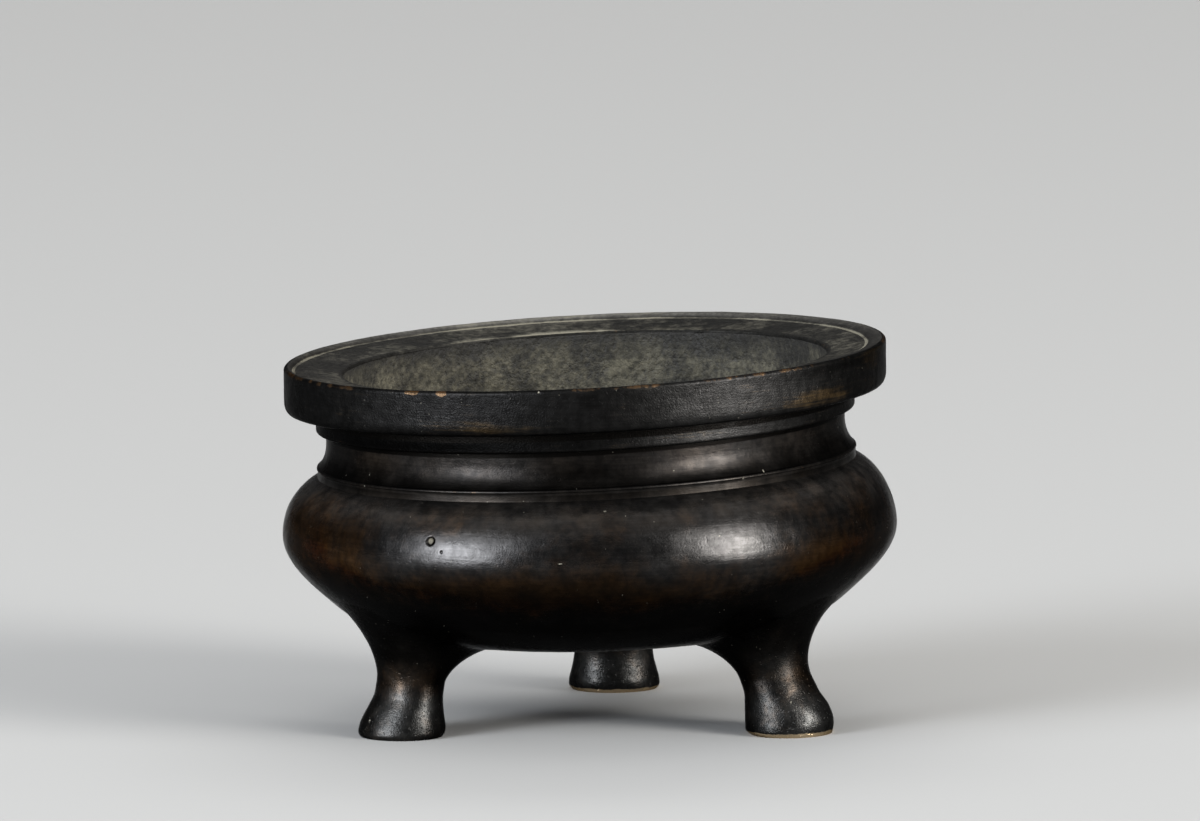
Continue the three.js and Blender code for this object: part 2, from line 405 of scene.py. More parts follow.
@dataclass(frozen=True)
class Turning:
    """A closed outline that is turned round the axis, with its relief, marks and patches."""

    stretches: tuple[Stretch, ...]
    columns: int
    marks: tuple[Mark, ...] = ()
    patches: tuple[Patch, ...] = ()
    lump: float = 14.0
    seed: float = 0.0
    warmth: float = 0.5
    corner: float = 0.9
    fine_lumps: float = 0.35
    inside_lump: float = 7.0
    level_warmth: float = 0.35
    mark_columns: int = 17
    least_step: float = 0.05
    seat_clear: float = 2.0
    grime_hides: float = 3.0
    blur: tuple[float, ...] = (0.1, 0.2, 0.4, 0.2, 0.1)

    def _rows(self) -> tuple[np.ndarray, ...]:
        """Samples the outline.

        Returns:
            The points, and each point's roughness, dust, skin and painted shade.
        """
        points, facts = [], []
        for run in self.stretches:
            part = along(run.points, run.spacing)[:-1]
            fixed = np.tile([run.rough, run.dust, run.skin.value], (len(part), 1))
            points.append(part)
            facts.append(np.column_stack([fixed, np.linspace(*run.grime, len(part))]))
        return np.concatenate(points), *np.concatenate(facts).T

    def _angles(self) -> np.ndarray:
        """Spaces the columns, closer together where a mark is.

        Returns:
            Angles in degrees, rising.
        """
        angles = [np.arange(self.columns) * 360.0 / self.columns]
        for mark in self.marks:
            half = math.degrees(mark.wide / MARK_RADIUS)
            nearby = mark.angle + np.linspace(-half, half, self.mark_columns)
            angles.append(nearby % 360.0)
        every = np.unique(np.round(np.concatenate(angles), 3))
        return every[np.concatenate([[True], np.diff(every) > self.least_step])]

    def _turn_of(self, points: np.ndarray) -> np.ndarray:
        """Measures how sharply the outline turns at each of its points.

        Args:
            points: The outline's points.

        Returns:
            Turning angles, above 0 at corners and below 0 in hollows.
        """
        count = len(points)
        gaps = np.linalg.norm(np.roll(points, -1, axis=0) - points, axis=1)
        place = np.concatenate([[0.0], np.cumsum(gaps)])
        length = place[-1]
        wrapped = np.concatenate([points, points[:1]])

        def at(distance: np.ndarray) -> np.ndarray:
            """Finds the outline's points at distances along it."""
            on_line = distance % length
            return np.stack([np.interp(on_line, place, wrapped[:, k]) for k in (0, 1)], axis=-1)

        here = place[:count]
        before = points - at(here - self.corner)
        after = at(here + self.corner) - points
        cross = before[:, 0] * after[:, 1] - before[:, 1] * after[:, 0]
        dot = (before * after).sum(axis=1)
        return np.arctan2(cross, dot)

    def surface(self) -> Surface:
        """Turns the outline into a grid of points with what the materials need to know.

        Returns:
            The surface, upright and in millimetres.
        """
        points, rough, dust, skins, grime = self._rows()
        angles = self._angles()
        turn = self._turn_of(points)
        step = np.roll(points, -1, axis=0) - np.roll(points, 1, axis=0)
        step /= np.linalg.norm(step, axis=1)[:, None]
        normal = np.stack([step[:, 1], -step[:, 0]], axis=-1)
        wrapped = np.pad(rough, len(self.blur) // 2, mode="wrap")
        rough = np.convolve(wrapped, np.array(self.blur), mode="valid")
        radii = np.repeat(points[:, 0:1], len(angles), axis=1)
        heights = np.repeat(points[:, 1:2], len(angles), axis=1)
        turns = np.repeat(angles[None, :], len(points), axis=0)
        upright = round_axis(turns, radii, heights)
        inner = (skins == Skin.INSIDE.value)[:, None]
        lumps = fractal(upright + self.seed, self.lump)
        lumps = lumps + self.fine_lumps * fractal(upright + self.seed, self.lump / 4)
        from_seat = np.clip(np.abs(heights - NECK_TOP) / self.seat_clear, 0.0, 1.0)
        dents = fractal(upright, self.inside_lump, 4) * from_seat
        out = np.where(inner, dents, lumps) * rough[:, None]
        bare, pale, shine, dust_and_highlight, haze = (np.zeros_like(out) for _ in range(5))
        warm = np.full_like(out, self.warmth)
        outward = np.clip(normal[:, 0], 0.0, 1.0)[:, None]
        for mark in self.marks:
            share = mark.depth_at(turns, radii, heights) * (skins == mark.skin.value)[:, None]
            out -= mark.depth * share
            bare = np.maximum(bare, mark.bare * share)
            pale = np.maximum(pale, mark.pale * share)
        for patch in self.patches:
            share = patch.share_at(turns, heights)
            warm += patch.warmth * share
            shine += patch.shine * share
            dust_and_highlight += patch.dust * share
            haze += patch.haze * share
        radii = radii + normal[:, 0:1] * out
        heights = heights + normal[:, 1:2] * out
        moved = round_axis(turns, radii, heights)
        # Painted shade: corners under it get no edge wear, and its rows darken the colour where
        # shade falls.
        unmasked = np.clip(1.0 - self.grime_hides * grime, 0.0, 1.0)
        edge = np.repeat((np.clip(turn, 0.0, 1.0) * unmasked)[:, None], len(angles), axis=1)
        # Dust that patches add: partly pale dust, and partly a painted highlight on the back of
        # the collar.
        hollow = np.clip(np.maximum(-turn, dust), 0.0, 1.0)[:, None] + dust_and_highlight
        painted_shade_grid = np.repeat(grime[:, None], len(angles), axis=1)
        warm *= self.level_warmth + (1.0 - self.level_warmth) * outward
        return Surface(moved, edge, hollow, warm, bare, pale, painted_shade_grid, shine, haze, skins.astype(int))


def turned_piece(name: str, surface: Surface, points: np.ndarray) -> bpy.types.Object:
    """Makes the mesh of a turned piece.

    Args:
        name: The piece's name.
        surface: What the materials need to know of each point.
        points: The grid of points where the piece stands.

    Returns:
        The new object.
    """
    mesh = skin_mesh(name, LEAN.settle(points), closed=True)
    paint(mesh, **{word: getattr(surface, word) for word in WORDS})
    per_face = np.repeat(surface.skins, points.shape[1])
    mesh.polygons.foreach_set("material_index", per_face.astype(np.int32))
    return link(mesh, name)


class Wiring:
    """Places nodes in one node tree and joins them."""

    def __init__(self, tree: bpy.types.NodeTree) -> None:
        """Keeps the tree that is being wired."""
        self.tree = tree

    def node(self, kind: str, **settings: object) -> bpy.types.Node:
        """Places a node.

        Args:
            kind: The node's type.
            **settings: Values of its own properties.

        Returns:
            The node.
        """
        made = self.tree.nodes.new(kind)
        for key, value in settings.items():
            setattr(made, key, value)
        return made

    def join(self, value: Feed, socket: Socket) -> None:
        """Feeds a socket from another one, or sets its value.

        Args:
            value: An output socket, a number or a colour.
            socket: The input socket.
        """
        if isinstance(value, Socket):
            self.tree.links.new(value, socket)
        elif isinstance(value, tuple) and socket.type == "RGBA":
            socket.default_value = (*value, 1.0)
        else:
            socket.default_value = value

    def math(self, operation: str, first: Feed, second: Feed = 0.0, clamp: bool = False) -> Socket:
        """Works out one sum.

        Args:
            operation: The math node's operation.
            first: A socket or a number.
            second: A socket or a number.
            clamp: Whether the result stays between 0 and 1.

        Returns:
            The result's socket.
        """
        made = self.node("ShaderNodeMath", operation=operation, use_clamp=clamp)
        self.join(first, made.inputs[0])
        self.join(second, made.inputs[1])
        return made.outputs[0]

    def plus(self, first: Feed, second: Feed) -> Socket:
        """Adds two sockets or numbers."""
        return self.math("ADD", first, second)

    def minus(self, first: Feed, second: Feed) -> Socket:
        """Takes the second socket or number from the first."""
        return self.math("SUBTRACT", first, second)

    def times(self, first: Feed, second: Feed) -> Socket:
        """Multiplies two sockets or numbers."""
        return self.math("MULTIPLY", first, second)

    def larger(self, first: Feed, second: Feed) -> Socket:
        """Gives the larger of two sockets or numbers."""
        return self.math("MAXIMUM", first, second)

    def spread(
        self, value: Feed, low: Feed, high: Feed, to_low: Feed = 0.0, to_high: Feed = 1.0
    ) -> Socket:
        """Maps one range of values smoothly to another.

        Args:
            value: The value's socket.
            low: Where the range starts.
            high: Where it ends.
            to_low: What its start becomes.
            to_high: What its end becomes.

        Returns:
            The result's socket.
        """
        made = self.node("ShaderNodeMapRange", interpolation_type="SMOOTHSTEP")
        for socket, given in zip(made.inputs, (value, low, high, to_low, to_high), strict=False):
            self.join(given, socket)
        return made.outputs[0]

    def mix(self, share: Feed, first: Feed, second: Feed) -> Socket:
        """Mixes two colours.

        Args:
            share: How much of the second colour shows.
            first: The first colour.
            second: The second colour.

        Returns:
            The mixed colour's socket.
        """
        made = self.node("ShaderNodeMix", data_type="RGBA")
        self.join(share, made.inputs[0])
        self.join(first, made.inputs[6])
        self.join(second, made.inputs[7])
        return made.outputs[2]

    def noise(self, place: Feed, size: Feed, detail: float = 3.0, rough: float = 0.55) -> Socket:
        """Reads noise, about 0.2 to 0.8, whose lumps have a size.

        Args:
            place: The place's socket, in millimetres.
            size: The lumps' size in millimetres, a socket or a number.
            detail: How many finer layers there are.
            rough: How strong the finer layers are.

        Returns:
            The value's socket.
        """
        made = self.node("ShaderNodeTexNoise")
        self.join(place, made.inputs["Vector"])
        self.join(self.math("DIVIDE", 1.0, size), made.inputs["Scale"])
        made.inputs["Detail"].default_value = detail
        made.inputs["Roughness"].default_value = rough
        return made.outputs["Fac"]

    def moved(self, place: Feed, shift: float, factor: float = 1.0) -> Socket:
        """Scales a place and shifts it, so that a noise read there differs from others.

        Args:
            place: The place's socket.
            shift: What is added on every axis.
            factor: What every axis is multiplied by first.

        Returns:
            The new place's socket.
        """
        made = self.node("ShaderNodeVectorMath", operation="MULTIPLY_ADD")
        self.join(place, made.inputs[0])
        made.inputs[1].default_value = (factor,) * 3
        made.inputs[2].default_value = (shift,) * 3
        return made.outputs[0]

    def scaled(self, colour: Feed, level: Feed) -> Socket:
        """Makes a colour lighter or darker.

        Args:
            colour: The colour's socket.
            level: What it is multiplied by.

        Returns:
            The new colour's socket.
        """
        made = self.node("ShaderNodeVectorMath", operation="SCALE")
        self.join(colour, made.inputs[0])
        self.join(level, made.inputs["Scale"])
        return made.outputs[0]


class Effect(Enum):
    """Effects that more than one finish uses, each a node group."""

    CLOUDS = "patina_clouds"
    WEAR = "edge_wear"
    DUST = "settled_dust"
    SPECKS = "pale_specks"
    GRAIN = "cast_grain"
    LINES = "turning_lines"
    PAINTED_SHADE = "dark_grime"


class Effects:
    """Builds each shared effect once and places it in materials."""

    def __init__(self) -> None:
        """Starts with no group made."""
        self.groups: dict[Effect, bpy.types.NodeTree] = {}

    def _new(
        self, effect: Effect, inputs: tuple[str, ...], outputs: tuple[str, ...]
    ) -> tuple[Wiring, bpy.types.NodeOutputs, bpy.types.NodeInputs]:
        """Makes an empty group with named sockets.

        Args:
            effect: Which effect it is.
            inputs: Names of the inputs; the one named Place is a vector.
            outputs: Names of the outputs, all values.

        Returns:
            The group's wiring, what it is given and what it puts out, by name.
        """
        tree = bpy.data.node_groups.new(effect.value, "ShaderNodeTree")
        for name in inputs:
            kind = "NodeSocketVector" if name == "Place" else "NodeSocketFloat"
            tree.interface.new_socket(name, in_out="INPUT", socket_type=kind)
        for name in outputs:
            tree.interface.new_socket(name, in_out="OUTPUT", socket_type="NodeSocketFloat")
        wiring = Wiring(tree)
        self.groups[effect] = tree
        given, made = wiring.node("NodeGroupInput"), wiring.node("NodeGroupOutput")
        return wiring, given.outputs, made.inputs

    def clouds(self) -> None:
        """Builds the blotches in which a patina turns from dark to warm."""
        inputs = ("Place", "Size", "Warmth", "Contrast")
        wiring, given, made = self._new(Effect.CLOUDS, inputs, ("Warm", "Shade"))
        place = given["Place"]
        broad = wiring.noise(place, given["Size"], 4.0, 0.6)
        fine_size = wiring.times(given["Size"], FINE_CLOUD)
        fine = wiring.noise(wiring.moved(place, CLOUD_SHIFT), fine_size, 3.0, 0.6)
        field = wiring.plus(wiring.times(broad, BROAD), wiring.times(fine, 1.0 - BROAD))
        lifted = wiring.plus(field, wiring.minus(given["Warmth"], 0.5))
        half = wiring.math("DIVIDE", 0.5, given["Contrast"])
        low = wiring.minus(0.5, half)
        high = wiring.plus(0.5, half)
        wiring.join(wiring.spread(lifted, low, high), made["Warm"])
        wiring.join(wiring.spread(fine, 0.3, 0.7, 0.75, 1.25), made["Shade"])

    def wear(self) -> None:
        """Builds the mask of corners and chips that are rubbed through."""
        inputs = ("Place", "Edge", "Bare", "Amount", "Break Size")
        wiring, given, made = self._new(Effect.WEAR, inputs, ("Mask",))
        place = given["Place"]
        broken = wiring.noise(place, given["Break Size"], 4.0, 0.65)
        patchy = wiring.noise(wiring.moved(place, WEAR_SHIFT), WEAR_PATCH, 2.0)
        reach = wiring.times(given["Edge"], given["Amount"])
        reach = wiring.times(reach, wiring.spread(patchy, 0.42, 0.6, 0.25, 1.5))
        reach = wiring.plus(reach, given["Bare"])
        level = wiring.plus(reach, wiring.minus(broken, 0.5))
        wiring.join(wiring.spread(level, 0.45, 0.62), made["Mask"])

    def dust(self) -> None:
        """Builds the mask of pale dust that settles in hollows."""
        inputs = ("Place", "Hollow", "Amount", "Size")
        wiring, given, made = self._new(Effect.DUST, inputs, ("Mask",))
        clumps = wiring.noise(given["Place"], given["Size"], 5.0, 0.7)
        far = wiring.moved(given["Place"], DUST_SHIFT)
        patchy = wiring.noise(far, wiring.times(given["Size"], DUST_PATCH), 2.0)
        reach = wiring.times(given["Hollow"], given["Amount"])
        reach = wiring.times(reach, wiring.spread(patchy, 0.36, 0.64, 0.5, 1.25))
        level = wiring.plus(reach, wiring.minus(clumps, 0.5))
        wiring.join(wiring.spread(level, 0.15, 0.95), made["Mask"])

    def specks(self) -> None:
        """Builds the mask of fine pale specks."""
        inputs = ("Place", "Size", "Amount")
        wiring, given, made = self._new(Effect.SPECKS, inputs, ("Mask",))
        cells = wiring.node("ShaderNodeTexVoronoi", feature="F1")
        bent = wiring.node("ShaderNodeTexNoise", noise_dimensions="3D")
        wiring.join(given["Place"], bent.inputs["Vector"])
        bent.inputs["Scale"].default_value = SPECK_FINENESS
        moved = wiring.node("ShaderNodeVectorMath", operation="MULTIPLY_ADD")
        wiring.join(bent.outputs["Color"], moved.inputs[0])
        moved.inputs[1].default_value = (SPECK_BEND,) * 3
        wiring.join(given["Place"], moved.inputs[2])
        wiring.join(moved.outputs[0], cells.inputs["Vector"])
        wiring.join(wiring.math("DIVIDE", 1.0, given["Size"]), cells.inputs["Scale"])
        chance = wiring.node("ShaderNodeSeparateColor")
        wiring.join(cells.outputs["Color"], chance.inputs[0])
        size = wiring.spread(chance.outputs[1], 0.0, 1.0, 0.05, 0.2)
        near = wiring.spread(cells.outputs["Distance"], 0.0, size, 1.0, 0.0)
        rare = wiring.math("LESS_THAN", chance.outputs[0], given["Amount"])
        wiring.join(wiring.times(near, rare), made["Mask"])

    def grain(self) -> None:
        """Builds the fine relief of a cast and hand-rubbed surface."""
        inputs = ("Place", "Grain Size", "Pits")
        wiring, given, made = self._new(Effect.GRAIN, inputs, ("Height",))
        place = given["Place"]
        size = given["Grain Size"]
        grains = wiring.noise(place, size, 2.0, 0.6)
        wide = wiring.noise(place, wiring.times(size, WIDE_SIZE), 3.0, 0.6)
        pits = wiring.noise(wiring.moved(place, PIT_SHIFT), wiring.times(size, PIT_SIZE), 2.0)
        pitted = wiring.times(wiring.spread(pits, 0.62, 0.72), given["Pits"])
        height = wiring.plus(grains, wiring.times(wide, WIDE_SHARE))
        wiring.join(wiring.minus(height, pitted), made["Height"])

    def lines(self) -> None:
        """Builds the fine rings that turning leaves round the axis."""
        wiring, given, made = self._new(Effect.LINES, ("Place", "Turns", "Fineness"), ("Lines",))
        parts = wiring.node("ShaderNodeSeparateXYZ")
        wiring.join(given["Place"], parts.inputs[0])
        x, y, z = parts.outputs
        squares = wiring.plus(wiring.times(x, x), wiring.times(y, y))
        radius = wiring.math("SQRT", squares)
        around = wiring.node("ShaderNodeCombineXYZ")
        for axis, socket in zip((x, y), around.inputs, strict=False):
            wiring.join(wiring.times(wiring.math("DIVIDE", axis, radius), given["Turns"]), socket)
        wiring.join(wiring.times(radius, given["Fineness"]), around.inputs[2])
        rings = wiring.node("ShaderNodeTexNoise", noise_dimensions="4D")
        wiring.join(around.outputs[0], rings.inputs["Vector"])
        wiring.join(wiring.times(z, given["Fineness"]), rings.inputs["W"])
        rings.inputs["Scale"].default_value = 1.0
        rings.inputs["Detail"].default_value = 3.0
        rings.inputs["Roughness"].default_value = 0.6
        wiring.join(rings.outputs["Fac"], made["Lines"])

    def grime(self) -> None:
        """Builds the mask of painted shade, dark where shade falls, with a mottled border."""
        inputs = ("Place", "Grime", "Size")
        wiring, given, made = self._new(Effect.PAINTED_SHADE, inputs, ("Mask",))
        mottle = wiring.noise(given["Place"], given["Size"], 4.0, 0.6)
        level = wiring.plus(given["Grime"], wiring.minus(mottle, 0.5))
        level = wiring.times(level, wiring.spread(given["Grime"], 0.0, 0.1))
        wiring.join(wiring.spread(level, 0.0, 1.0), made["Mask"])

    def build(self) -> None:
        """Builds every group."""
        self.clouds()
        self.wear()
        self.dust()
        self.specks()
        self.grain()
        self.lines()
        self.grime()

    def place(self, wiring: Wiring, effect: Effect, **values: Feed) -> bpy.types.Node:
        """Places an effect in a material.

        Args:
            wiring: The material's wiring.
            effect: Which effect.
            **values: Its inputs, by name with _ for a space.

        Returns:
            The group's node.
        """
        made = wiring.node("ShaderNodeGroup", node_tree=self.groups[effect])
        for name, value in values.items():
            wiring.join(value, made.inputs[name.replace("_", " ")])
        return made


class Coat:
    """A material that is being made, with the place where its patterns are read."""

    def __init__(self, name: str, effects: Effects) -> None:
        """Starts a material.

        Args:
            name: The material's name.
            effects: The shared effects.
        """
        self.effects = effects
        self.material = bpy.data.materials.new(name)
        self.material.use_nodes = True
        self.wiring = Wiring(self.material.node_tree)
        self.shader = self.material.node_tree.nodes["Principled BSDF"]
        where = self.wiring.node("ShaderNodeTexCoord").outputs["Object"]
        self.place = self.wiring.moved(where, 0.0, 1 / MM)

    def read(self, word: str) -> Socket:
        """Reads an attribute that is painted on the mesh."""
        return self.wiring.node("ShaderNodeAttribute", attribute_name=word).outputs["Fac"]

    def effect(self, kind: Effect, **values: Feed) -> bpy.types.NodeOutputs:
        """Places a shared effect and gives its outputs."""
        return self.effects.place(self.wiring, kind, Place=self.place, **values).outputs

    def feed(self, name: str, value: Feed) -> None:
        """Feeds one of the shader's sockets, or sets its value."""
        self.wiring.join(value, self.shader.inputs[name])

    def relief(self, height: Socket, depth: float) -> None:
        """Raises the surface by a pattern of heights.

        Args:
            height: The pattern's socket.
            depth: How much a height of 1 stands for, in millimetres.
        """
        bump = self.wiring.node("ShaderNodeBump")
        bump.inputs["Strength"].default_value = 1.0
        bump.inputs["Distance"].default_value = depth * MM
        self.wiring.join(height, bump.inputs["Height"])
        self.feed("Normal", bump.outputs["Normal"])


@dataclass(frozen=True)
class BronzeFinish:
    """Old bronze under a dark waxed patina."""

    name: str
    dark: Colour = (0.0252, 0.0244, 0.0240)
    warm: Colour = (0.044, 0.0245, 0.0120)
    dust_colour: Colour = (0.13, 0.12, 0.09)
    speck_colour: Colour = (0.17, 0.16, 0.13)
    grime_colour: Colour = (0.004, 0.0036, 0.0032)
    haze_colour: Colour = (0.040, 0.030, 0.021)
    brass: Colour = (0.075, 0.05, 0.032)
    cloud_size: float = 11.0
    contrast: float = 2.1
    gloss: Pair = (0.21, 0.28)
    gloss_size: float = 5.0
    banding: float = 0.0
    grain_size: float = 0.38
    grain_depth: float = 0.024
    streaks: float = 0.8
    fineness: float = 1.8
    line_turns: float = 7.0
    lining: float = 0.12
    pits: float = 0.4
    wear: float = 0.3
    break_size: float = 1.4
    dust: float = 0.3
    dust_size: float = 1.6
    dust_dulls: float = 0.4
    specks: float = 0.06
    speck_size: float = 0.8
    grime_size: float = 6.0
    haze_size: float = 4.0
    chip_size: float = 0.7
    metal: float = 0.94
    edge_tint: Colour = (0.2, 0.2, 0.2)
    ior: float = 1.3

    def material(self, effects: Effects) -> bpy.types.Material:
        """Makes the material.

        Args:
            effects: The shared effects.

        Returns:
            The material.
        """
        coat = Coat(self.name, effects)
        wiring, place, effect = coat.wiring, coat.place, coat.effect
        read = {word: coat.read(word) for word in WORDS}
        lines = effect(Effect.LINES, Turns=self.line_turns, Fineness=self.fineness)[0]
        bands = wiring.times(wiring.minus(lines, 0.5), self.banding)
        warmth = wiring.plus(read["warm"], bands)
        clouds = effect(
            Effect.CLOUDS, Size=self.cloud_size, Warmth=warmth, Contrast=self.contrast
        )
        wear = effect(
            Effect.WEAR,
            Edge=read["edge"],
            Bare=read["bare"],
            Amount=self.wear,
            Break_Size=self.break_size,
        )[0]
        dust = effect(
            Effect.DUST, Hollow=read["hollow"], Amount=self.dust, Size=self.dust_size
        )[0]
        specks = effect(Effect.SPECKS, Size=self.speck_size, Amount=self.specks)[0]
        grain = effect(Effect.GRAIN, Grain_Size=self.grain_size, Pits=self.pits)[0]
        colour = wiring.mix(clouds["Warm"], self.dark, self.warm)
        lined = wiring.spread(lines, 0.35, 0.65, 1.0 - self.lining, 1.0 + self.lining)
        # Painted light: the colour is scaled up as a painted highlight and down as painted shade.
        level = wiring.times(clouds["Shade"], wiring.plus(read["shine"], 1.0))
        shaded = wiring.scaled(colour, wiring.times(level, lined))
        # Painted shade: the colour turns near black where shade falls.
        grime = effect(Effect.PAINTED_SHADE, Grime=read["grime"], Size=self.grime_size)[0]
        colour = wiring.mix(grime, shaded, self.grime_colour)
        cloudy = wiring.spread(wiring.noise(place, self.haze_size), 0.3, 0.7, 0.4, 1.6)
        haze = wiring.times(read["haze"], cloudy)
        colour = wiring.mix(haze, colour, self.haze_colour)
        colour = wiring.mix(dust, colour, self.dust_colour)
        ragged = wiring.minus(wiring.noise(place, self.chip_size), 0.5)
        chipped = wiring.spread(wiring.plus(read["pale"], ragged), 0.35, 0.7)
        chipped = wiring.times(chipped, wiring.spread(read["pale"], 0.0, 0.2))
        spotted = wiring.larger(specks, chipped)
        colour = wiring.mix(spotted, colour, self.speck_colour)
        colour = wiring.mix(wear, colour, self.brass)
        coat.feed("Base Color", colour)
        gloss = wiring.spread(wiring.noise(place, self.gloss_size), 0.35, 0.65, *self.gloss)
        dull = wiring.times(dust, self.dust_dulls)
        coat.feed("Roughness", wiring.math("ADD", gloss, dull, clamp=True))
        unmasked = wiring.minus(1.0, wiring.larger(wiring.larger(dust, spotted), haze))
        coat.feed("Metallic", wiring.larger(wiring.times(unmasked, self.metal), wear))
        coat.feed("Specular Tint", self.edge_tint)
        coat.feed("IOR", self.ior)
        height = wiring.plus(grain, wiring.times(lines, self.streaks))
        coat.relief(height, self.grain_depth)
        return coat.material


@dataclass(frozen=True)
class CrustFinish:
    """A rough, dry surface: ash-stained metal or fired clay."""

    name: str
    low: Colour
    high: Colour
    spots_and_shade: Colour
    blotch: float = 8.5
    contrast: float = 2.8
    warmth: float = 0.5
    grime_size: float = 3.0
    grain_size: float = 0.9
    grain_depth: float = 0.55
    pits: float = 0.25
    roughness: Pair = (0.62, 0.95)
    ior: float = 1.4

    def material(self, effects: Effects) -> bpy.types.Material:
        """Makes the material.

        Args:
            effects: The shared effects.

        Returns:
            The material.
        """
        coat = Coat(self.name, effects)
        wiring, effect = coat.wiring, coat.effect
        grime = effect(Effect.PAINTED_SHADE, Grime=coat.read("grime"), Size=self.grime_size)[0]
        clouds = effect(
            Effect.CLOUDS, Size=self.blotch, Warmth=self.warmth, Contrast=self.contrast
        )
        grain = effect(Effect.GRAIN, Grain_Size=self.grain_size, Pits=self.pits)[0]
        colour = wiring.mix(clouds["Warm"], self.low, self.high)
        # Painted light: the colour is scaled up as a painted highlight and down as painted shade.
        level = wiring.times(clouds["Shade"], wiring.plus(coat.read("shine"), 1.0))
        # Painted shade: the colour turns to the dark spot colour where shade falls below the lip.
        # The pits below are the crust's own dark spots.
        colour = wiring.mix(grime, wiring.scaled(colour, level), self.spots_and_shade)
        low = wiring.spread(grain, 0.6, 0.88, 0.6, 0.0)
        coat.feed("Base Color", wiring.mix(low, colour, self.spots_and_shade))
        coat.feed("Roughness", wiring.spread(grain, 0.4, 1.4, *self.roughness))
        coat.feed("IOR", self.ior)
        coat.relief(grain, self.grain_depth)
        return coat.material


@dataclass(frozen=True)
class Finishes:
    """The materials of the burner's surfaces."""

    bowl: bpy.types.Material
    neck: bpy.types.Material
    collar: bpy.types.Material
    ledge: bpy.types.Material
    inside: bpy.types.Material
    feet: bpy.types.Material
    panel: bpy.types.Material
    plug: bpy.types.Material
    clay: bpy.types.Material

    @staticmethod
    def build(effects: Effects) -> "Finishes":
        """Makes every material once.

        Args:
            effects: The shared effects.

        Returns:
            The finishes.
        """
        return Finishes(
            bowl=BronzeFinish("waxed_patina").material(effects),
            neck=BronzeFinish(
                "neck_patina",
                dark=(0.0185, 0.018, 0.0178),
                warm=(0.0275, 0.0225, 0.0185),
                contrast=1.4,
                gloss=(0.28, 0.36),
                streaks=0.7,
                lining=0.15,
                dust=0.1,
            ).material(effects),
            collar=BronzeFinish(
                "flange_patina",
                dark=(0.0125, 0.0122, 0.0119),
                warm=(0.042, 0.029, 0.0155),
                brass=(0.078, 0.050, 0.029),
                gloss=(0.36, 0.44),
                banding=0.9,
                streaks=0.4,
                fineness=2.4,
                grain_size=0.36,
                grain_depth=0.08,
                wear=0.36,
                break_size=2.4,
            ).material(effects),
            ledge=BronzeFinish(
                "dusty_ledge",
                dark=(0.022, 0.0212, 0.0195),
                warm=(0.042, 0.038, 0.030),
                dust_colour=(0.135, 0.126, 0.098),
                gloss=(0.5, 0.62),
                cloud_size=5.0,
                contrast=2.6,
                grain_size=0.5,
                grain_depth=0.09,
                streaks=0.5,
                lining=0.2,
                fineness=1.2,
                dust=1.0,
                wear=0.25,
                metal=0.72,
            ).material(effects),
            inside=CrustFinish(
                "ash_stained_inside",
                low=(0.010, 0.0092, 0.0065),
                high=(0.078, 0.0715, 0.050),
                spots_and_shade=(0.006, 0.0054, 0.0042),
                blotch=7.5,
                contrast=3.0,
            ).material(effects),
            feet=BronzeFinish(
                "rubbed_foot",
                dark=(0.0225, 0.0225, 0.0218),
                warm=(0.036, 0.0225, 0.0130),
                brass=(0.36, 0.28, 0.18),
                gloss=(0.26, 0.35),
                grain_size=0.3,
                grain_depth=0.055,
                pits=0.9,
                wear=1.1,
                break_size=2.4,
                specks=0.08,
            ).material(effects),
            panel=BronzeFinish(
                "panel_patina",
                gloss=(0.5, 0.65),
                wear=0.2,
                dust=0.8,
            ).material(effects),
            plug=BronzeFinish(
                "plug_bronze",
                dark=(0.06, 0.056, 0.045),
                warm=(0.12, 0.11, 0.085),
                gloss=(0.5, 0.65),
                grain_size=0.25,
                metal=0.3,
            ).material(effects),
            clay=CrustFinish(
                "fired_clay",
                low=(0.14, 0.10, 0.07),
                high=(0.28, 0.21, 0.15),
                spots_and_shade=(0.08, 0.05, 0.035),
                blotch=2.5,
            ).material(effects),
        )


def finish_piece(
    piece: bpy.types.Object, node: str, slot: str, *materials: bpy.types.Material
) -> None:
    """Gives a piece its materials and its body, and hides the solid that it stands for.

    Args:
        piece: The piece.
        node: The solid's name.
        slot: The material slot of the part's record; not used.
        *materials: The piece's materials, in the order of its skins.
    """
    for material in materials:
        piece.data.materials.append(material)
    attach(piece, BODY)
    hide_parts(node)
    LOG.info("%s: %d points", piece.name, len(piece.data.vertices))


